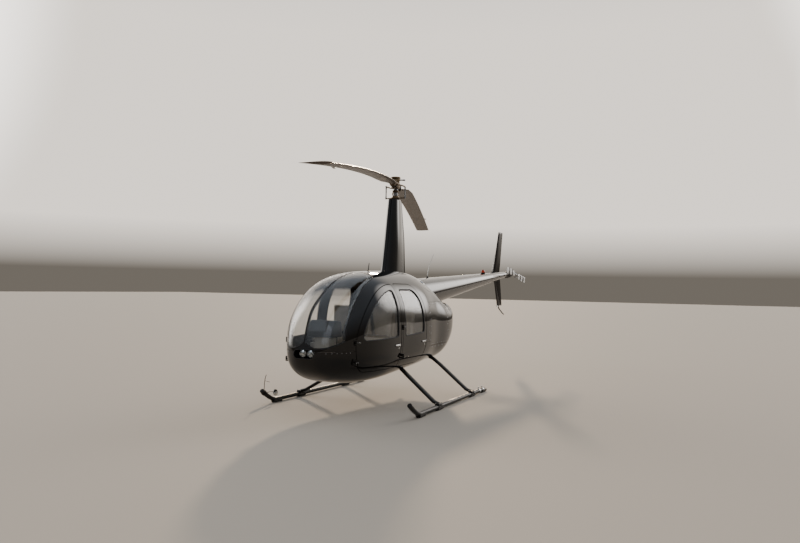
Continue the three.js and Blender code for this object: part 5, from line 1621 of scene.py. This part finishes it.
def trim_tab(side):
    """The bent tab behind a blade's trailing edge."""
    low, high = sorted(-side * (BLADE_CHORD * (1 - BLADE_NOSE_SHARE) + reach) for reach in (0, 28))
    z = blade_z(TRIM_TAB_X, side) + 9
    return rounded_box((side * TRIM_TAB_X - 120, low, z - 1.2), (side * TRIM_TAB_X + 120, high, z + 1.2), 1)


def root_doubler(side, width, reach):
    """A plate that stiffens a blade's root, narrower and thicker the further it reaches."""
    path = blade_path(np.linspace(BLADE_ROOT + 12, reach, 8), side, side * BOLT_LINE_Y)
    return tube(path, (18.5 + (100 - width) * 0.012, width / 2), 20, power=3.2)


class MakeBlades(Operator):
    """Make the main rotor's two blades with their edge strips, tabs, doublers and root bolts"""
    bl_idname = "helicopter.blades"
    bl_label = "Main rotor's blades"

    def execute(self, context):
        tip = ROTOR_RADIUS
        stations = [BLADE_ROOT, BLADE_ROOT + 25, BLADE_ROOT + 60, 585, 640, 700, 760,
                    *np.linspace(860, tip - 60, 60), tip - 40, tip - 20, tip - 8, tip]
        for name, side in (("rotor_blade_near", 1), ("rotor_blade_far", -1)):
            strip = blade_surface(side, np.linspace(EDGE_STRIP_X, tip - 45, 60), grow=1.2, nose=0.1, steps=8)
            bolts = [hex_bolt(place + [0, beside, 18], UP, 9, 9) for beside in (-22, 22) for place in
                     blade_path([BLADE_ROOT + 40, BLADE_ROOT + 85], side, side * BOLT_LINE_Y)]
            plates = spun(*(root_doubler(side, *plate) for plate in DOUBLERS))
            piece(f"{name}_skin", spun(blade_surface(side, stations)), "blade paint", "main_rotor", name)
            piece(f"{name}_edge_strip", spun(strip), "stainless edge strip", "main_rotor")
            piece(f"{name}_trim_tab", spun(trim_tab(side)), "machined steel", "main_rotor")
            piece(f"{name}_root_doublers", plates, "blade paint", "main_rotor")
            piece(f"{name}_root_bolts", spun(*bolts), "machined steel", "main_rotor")
        return {"FINISHED"}


def spindle(side):
    """A blade's ribbed rubber boot, and the forged spindle that leaves it for the blade."""
    rib = 44 + 4 * np.cos(np.arange(15) * np.pi)
    boot = tube(blade_path(np.linspace(205, 350, 15), side), rib[:, None], 32)
    fork = tube(blade_path([345, 365, 400, 440, BLADE_ROOT + 40], side),
                [[46, 46], [44, 46], [32, 46], [24, 46], [19, 44]], 32, power=2.6)
    stop_z = blade_z(232, side)
    droop_stop = rounded_box((side * 232 - 26, -16, stop_z - 70), (side * 232 + 26, 16, stop_z - 38), 5)
    return boot, [fork, droop_stop]


def pitch_link(side):
    """A blade's pitch horn and the swashplate's arm, and the bright link between them."""
    x, y = side * PITCH_LINK[0], side * PITCH_LINK[1]
    low, high = SWASHPLATE_ARM_Z, blade_z(330, side) - 14
    horn = smooth_path([[side * 350, side * 24, high + 12], [side * 240, side * 96, high + 6],
                        [side * 130, side * 140, high + 4], [x, y, high]], 16)
    arm = [[side * 8, side * 50, low], [side * 34, side * 110, low], [x, y, low]]
    forged = [tube(horn, (11, 10), 16, power=3),
              tube(arm, [[8, 20], [8, 12], [8, 9]], 16, power=3)]
    bright = [tube([[x, y, 2950], [x, y, high]], 10.5, 16, guide=FORWARD)]
    bright += [hex_bolt((x, y, z), UP, 13, 10) for z in (2975, high - 24)]
    bright += [turned([(-12, 9), (-9, 13), (9, 13), (12, 9)], (x, y, z), FORWARD, 20) for z in (low, high)]
    return forged, bright


def scissors(side):
    """The two hinged arms that drive the swashplate's turning ring."""
    knee_x, knee_y = side * 112, -side * 34
    return [tube([[side * 74, -side * 20, 2958], [knee_x, knee_y, 3010]], (7, 12), 14, guide=ACROSS, power=3),
            tube([[knee_x, knee_y, 3006], [side * 40, -side * 12, 3058]], (7, 12), 14, guide=ACROSS, power=3)]


class MakeRotorHead(Operator):
    """Make the main rotor's head: yoke, spindles, boots, pitch links and turning ring"""
    bl_idname = "helicopter.rotor_head"
    bl_label = "Main rotor's head"

    def execute(self, context):
        x = np.array([-215, -120, 0, 120, 215])
        yoke = xyz(x, 0, HUB_Z - ROTOR_TEETER * x)
        across = [[30, 38], [44, 50], [52, 62], [44, 50], [30, 38]]
        forged = [tube(yoke, across, 28, power=4), turned(CAP, MAST, UP, 48),
                  rounded_box((-66, -60, HUB_Z - 40), (66, 60, HUB_TOP_Z - 27), 16)]
        bright = [turned(SHAFT, MAST, UP, 36), turned(TEETER_BOLT, (0, 0, HUB_TOP_Z - 45), ACROSS, 24)]
        boots = []
        for side in (1, -1):
            hinge_z = HUB_Z - ROTOR_TEETER * side * 150
            pin = [(-70, 11), (-66, 17), (66, 17), (70, 11)]
            bright.append(turned(pin, (side * 150, 0, hinge_z), ACROSS, 24))
            boot, forks = spindle(side)
            link_forged, link_bright = pitch_link(side)
            boots.append(boot)
            forged += forks + link_forged + scissors(side)
            bright += link_bright
        forged += [turned(DRIVE_COLLAR, MAST, UP, 36), turned(TURNING_RING, MAST, UP, 48)]
        # The forgings' bronze colour is a painted warm reflection of the low sun.
        piece("rotor_head_forgings", spun(*forged), "cadmium-plated forging", "main_rotor", "rotor_hub")
        piece("rotor_head_bolts", spun(*bright), "machined steel", "main_rotor")
        piece("rotor_spindle_boots", spun(*boots), "rubber seal", "main_rotor")
        piece("swashplate_ring", turned(STILL_RING, MAST, UP, 48), "cast aluminium", replaces="swashplate")
        return {"FINISHED"}


class MakeFairing(Operator):
    """Make the mast's fairing"""
    bl_idname = "helicopter.fairing"
    bl_label = "Mast fairing"

    def execute(self, context):
        heights = np.linspace(FAIRING[0, 0], FAIRING[-1, 0], 40)
        rings = []
        for z, (nose, tail, thickness) in zip(heights, spline(FAIRING[:, 0], FAIRING[:, 1:], heights)):
            share, half = wing_ring(thickness, 26)
            rings.append(xyz(nose + share * (tail - nose), half, z))
        bore = turned([(2700, 46), (3000, 46)], MAST, UP, 40)
        piece("mast_fairing_skin", less(closed(rings), form(-0.5), bore), "polyurethane gloss paint",
              replaces="mast_fairing")
        return {"FINISHED"}


# Exhaust, cooling intake and fittings on the skids

# The intake's guard: x and radius of each ring.
GUARD_RINGS = ((-1405, 176), (-1406, 140), (-1407, 104), (-1408, 68))
TOE_SHARE = (1690 - SKID_BEND_X) / (SKID_TOE[0] - SKID_BEND_X)
MIRROR, MIRROR_FACING = (1480, 25 - SKID_Y, 140), (0.2, 0.96, 0.2)
MIRROR_SHELL = [(-2, 8), (4, 26), (8, 42), (14, 44), (15, 41)]
MIRROR_GLASS = [(12, 41), (16, 38), (19, 26), (20.5, 10)]


class MakeIntake(Operator):
    """Make the exhaust pipe, open at its end, and the cooling intake's lining and wire guard"""
    bl_idname = "helicopter.intake"
    bl_label = "Exhaust and cooling intake"

    def execute(self, context):
        route = smooth_path(EXHAUST, 32)
        bore = np.concatenate([route[-9:], route[-1:] + (route[-1] - route[-2])])
        pipe = less(tube(route, EXHAUST_RADIUS, 32, guide=ACROSS),
                    tube(bore, EXHAUST_RADIUS - 4, 32, guide=ACROSS))
        piece("exhaust_tube", pipe, "heat-stained steel", replaces="exhaust_pipe")
        centre = np.array([0, 0, INTAKE_Z])
        wide, narrow = INTAKE_RADIUS - 0.4, INTAKE_RADIUS - 14
        block = common(turned([(-1600, wide), (-1330, wide)], centre, FORWARD, 64), form(-2))
        lining = less(block, turned([(-1600, narrow), (-1344, narrow)], centre, FORWARD, 64))
        piece("intake_lining", lining, "moulded black plastic", replaces="intake_shroud")
        square = ((-2.5, -2.5), (-2.5, 2.5), (2.5, 2.5), (2.5, -2.5))
        bars = [collar([(x + along, radius + out) for along, out in square], centre, FORWARD, 64)
                for x, radius in GUARD_RINGS]
        for angle in np.arange(8) * np.pi / 4:
            out = np.array([0, math.cos(angle), math.sin(angle)])
            spoke = [centre + out * 30 + [-1409, 0, 0], centre + out * 194 + [-1404, 0, 0]]
            bars.append(tube(spoke, 2.6, 8, guide=FORWARD))
        bars.append(turned([(-1413, 30), (-1411, 44), (-1399, 44), (-1397, 30)], centre, FORWARD, 36))
        piece("intake_guard", bars, "satin black enamel")
        return {"FINISHED"}


class MakeFittings(Operator):
    """Make the mirror on the starboard skid's toe and the skids' wheel lugs"""
    bl_idname = "helicopter.fittings"
    bl_label = "Toe mirror and wheel lugs"

    def execute(self, context):
        x, height = toe_line(TOE_SHARE)
        y = -SKID_Y
        slope = 1.5 * (SKID_TOE[1] - SKID_Z) / (SKID_TOE[0] - SKID_BEND_X) * math.sqrt(TOE_SHARE)
        arm = smooth_path([[x, y, height + 34], [1684, y, 278], [1675, y, 338], [1648, y, 398]], 20)
        stay = smooth_path([[x, y + 34, height], [1590, y + 36, 168], MIRROR], 12)
        bracket = [tube(arm, 4.5, 12, guide=ACROSS),
                   collar([(-14, 30.4), (-14, 37), (14, 37), (14, 30.4)], (x, y, height), (1, 0, slope), 32),
                   tube(stay, 4.5, 12, guide=ACROSS),
                   tube([[1680, y, 322], [1568, y, 292]], 3.6, 12, guide=ACROSS)]
        piece("mirror_bracket", bracket, "satin black enamel")
        piece("mirror_shell", turned(MIRROR_SHELL, MIRROR, MIRROR_FACING, 40), "polished aluminium",
              replaces="toe_mirror")
        piece("mirror_glass", turned(MIRROR_GLASS, MIRROR, MIRROR_FACING, 40), "lamp reflector")
        for name, side in SIDES:
            y, z, lugs = side * SKID_Y, SKID_Z, []
            for x in LUGS_X:
                lugs.append(collar([(-16, 30.4), (-16, 34), (16, 34), (16, 30.4)], (x, y, z), FORWARD, 28))
                lugs.append(rounded_box((x - 14, y - 7, z + 30), (x + 14, y + 7, z + 62), 5))
                lugs.append(turned([(-13, 6), (-11, 9), (11, 9), (13, 6)], (x, y, z + 52), ACROSS, 16))
            piece(f"wheel_lugs_{name}", lugs, "polished aluminium")
        return {"FINISHED"}


# Studio

FLOOR_HALF = 90.0
# The photo's viewing angle: degrees of yaw, pitch and roll, and millimetres from the mast.
CAMERA_TURN = (205.5843, 1.3481, 1.0108)
CAMERA_PLACE = (9172.6, 4490.1, 1611.1)
# The tent's bright parts: the way each one lies, and the cosines where it begins and is full. The
# softboxes are what the cone, the shoulders and the windscreen's edge mirror.
BACKDROP = ((-0.9, -0.43, 0.1), 0.6, 0.85)
SOFTBOXES = (((-0.83, 0.37, 0.42), 0.935, 1), ((-0.2, -0.92, 0.33), 0.9, 1), ((-0.93, 0.27, 0.25), 0.98, 1))
SOFTBOX_LIGHT = (3.0, 2.85, 2.7, 1)
# Name, where it shines from, apparent width in degrees, strength, colour: a low sun behind the
# machine as in the photo, and a weak one by the camera that no glossy surface mirrors.
SUNS = (("sun", (-9.0, -3.9, 3.4), 3, 2.2, "#ffe3c2"), ("fill", (9.0, 7.0, 5.0), 30, 0.5, "#eef2ff"))


class BodySettings(PropertyGroup):
    """Sizes of the fuselage's details."""
    seam: FloatProperty(name="Seam", description="Width of the seams between the skin's panels",
                        default=0.003, min=0.001, max=0.01, unit="LENGTH")


class StageSettings(PropertyGroup):
    """The studio around the machine."""
    floor: StringProperty(name="Floor", description="Floor's colour, sRGB hex", default="#a69d90")
    rail: StringProperty(name="Rail", description="Tent's colour round its foot, sRGB hex", default="#57524b")
    backdrop: StringProperty(name="Backdrop", description="Tent's colour behind the machine, sRGB hex",
                             default="#e6ddd2")
    tent: StringProperty(name="Tent", description="Tent's colour overhead, sRGB hex", default="#9aa0a8")
    strength: FloatProperty(name="Strength", description="Brightness of the tent", default=1.8, min=0)
    lens: FloatProperty(name="Lens", description="Camera's focal length on a 36 mm sensor", default=30.49,
                        min=10, max=200, subtype="DISTANCE_CAMERA")


def studio_floor(colour):
    """A plain pale floor."""
    made = bpy.data.materials.new("pale studio floor")
    made.use_nodes = True
    shader = made.node_tree.nodes["Principled BSDF"]
    shader.inputs["Base Color"].default_value = linear(colour)
    shader.inputs["Roughness"].default_value = 0.85
    corners = [(x, y, 0) for x, y in ((-1, -1), (1, -1), (1, 1), (-1, 1))]
    mesh = bpy.data.meshes.new("floor")
    mesh.from_pydata((np.array(corners) * FLOOR_HALF).tolist(), [], [(0, 1, 2, 3)])
    mesh.materials.append(made)
    added("floor", mesh)


def studio_tent(own):
    """The tent as the world's light: bright behind the machine and dim on the camera's side, with a
    dark rail round its foot, and softboxes."""
    world = bpy.data.worlds.new("studio")
    bpy.context.scene.world = world
    world.use_nodes = True
    tree = world.node_tree
    way = (add_node(tree, "TexCoord"), "Generated")
    height = (add_node(tree, "SeparateXYZ", in0=way), "Z")
    rail, wall_colour, tent = own.rail, own.backdrop, own.tent
    bright, tone = (
        (add_node(tree, "ValToRGB", {"stops": stops}, Fac=height), "Color") for stops in (
            [(0, rail), (0.02, rail), (0.09, wall_colour), (0.35, wall_colour), (0.7, tent)],
            [(0, rail), (0.05, rail), (0.55, tent)]))
    for count, (aim, begins, full) in enumerate((BACKDROP, *SOFTBOXES)):
        facing = add_node(tree, "VectorMath", {"operation": "DOT_PRODUCT"}, in0=way, in1=aim)
        share = add_node(tree, "MapRange", {"interpolation_type": "SMOOTHSTEP"},
                         Value=(facing, "Value"), From_Min=begins, From_Max=full)
        mixed = add_node(tree, "Mix", {"data_type": "RGBA"}, in0=(share, "Result"), in6=tone,
                         in7=SOFTBOX_LIGHT if count else bright)
        tone = (mixed, 2)
    background = tree.nodes["Background"]
    tree.links.new(tone[0].outputs[tone[1]], background.inputs["Color"])
    background.inputs["Strength"].default_value = own.strength


def studio_lights():
    """The sun behind the machine and the fill by the camera."""
    for name, place, width, power, colour in SUNS:
        data = bpy.data.lights.new(name, "SUN")
        data.angle, data.energy, data.color = math.radians(width), power, linear(colour)[:3]
        light = added(name, data)
        light.rotation_euler = Vector([-value for value in place]).to_track_quat("-Z", "Y").to_euler()
        light.visible_glossy = name == "sun"


def studio_camera(lens):
    """The camera where the photo was taken from, turned by yaw, pitch and roll."""
    camera = bpy.data.cameras.new("camera")
    camera.lens, camera.sensor_width, camera.clip_end = lens, 36.0, 400
    thing = added("camera", camera)
    yaw, pitch, roll = (math.radians(value) for value in CAMERA_TURN)
    forward = np.array([math.cos(pitch) * math.cos(yaw), math.cos(pitch) * math.sin(yaw), math.sin(pitch)])
    right = unit(np.cross(forward, UP))
    up = np.cross(right, forward)
    c, s = math.cos(roll), math.sin(roll)
    matrix = np.eye(4)
    matrix[:3, :3] = np.stack([c * right + s * up, c * up - s * right, -forward], -1)
    matrix[:3, 3] = metres(CAMERA_PLACE)
    thing.matrix_world = Matrix(matrix.tolist())
    bpy.context.scene.camera = thing


class MakeStage(Operator):
    """Make the floor, the lights and the camera"""
    bl_idname = "helicopter.stage"
    bl_label = "Studio"

    def execute(self, context):
        own = context.scene.helicopter_stage
        studio_floor(own.floor)
        studio_tent(own)
        studio_lights()
        studio_camera(own.lens)
        return {"FINISHED"}


SETTINGS = (("helicopter_finish", FinishSettings), ("helicopter_body", BodySettings),
            ("helicopter_stage", StageSettings))
STEPS = (MakeFinishes, MakeCabin, MakeCowls, MakeDoors, MakeDoorFittings, MakeTrims, MakeLamps,
         MakeLining, MakeConsole, MakeControls, MakeEngine, MakeSeats, MakeGear, MakeTailCone,
         MakeTailGearbox, MakeFins, MakeTailLights, MakeTailRotor, MakeBlades, MakeRotorHead,
         MakeFairing, MakeIntake, MakeFittings, MakeStage)


class HelicopterPanel(Panel):
    """Lists the settings, and the steps that make the machine"""
    bl_idname = "VIEW3D_PT_helicopter"
    bl_label = "Helicopter"
    bl_space_type = "VIEW_3D"
    bl_region_type = "UI"
    bl_category = "Helicopter"

    def draw(self, context):
        for name, group in SETTINGS:
            frame_of_group = self.layout.box()
            for key in group.__annotations__:
                frame_of_group.prop(getattr(context.scene, name), key)
        for step in STEPS:
            self.layout.operator(step.bl_idname)


def register():
    """Registers the classes and puts the settings on the scene."""
    for kind in (*(group for _, group in SETTINGS), *STEPS, HelicopterPanel):
        bpy.utils.register_class(kind)
    for name, group in SETTINGS:
        setattr(bpy.types.Scene, name, PointerProperty(type=group))


def unregister():
    """Takes the settings and the classes away again."""
    for name, _ in SETTINGS:
        delattr(bpy.types.Scene, name)
    for kind in (HelicopterPanel, *reversed(STEPS), *(group for _, group in SETTINGS)):
        bpy.utils.unregister_class(kind)


def main():
    """Registers the classes and runs every step in order."""
    register()
    for step in STEPS:
        group, name = step.bl_idname.split(".")
        getattr(getattr(bpy.ops, group), name)()


if __name__ == "__main__":
    main()
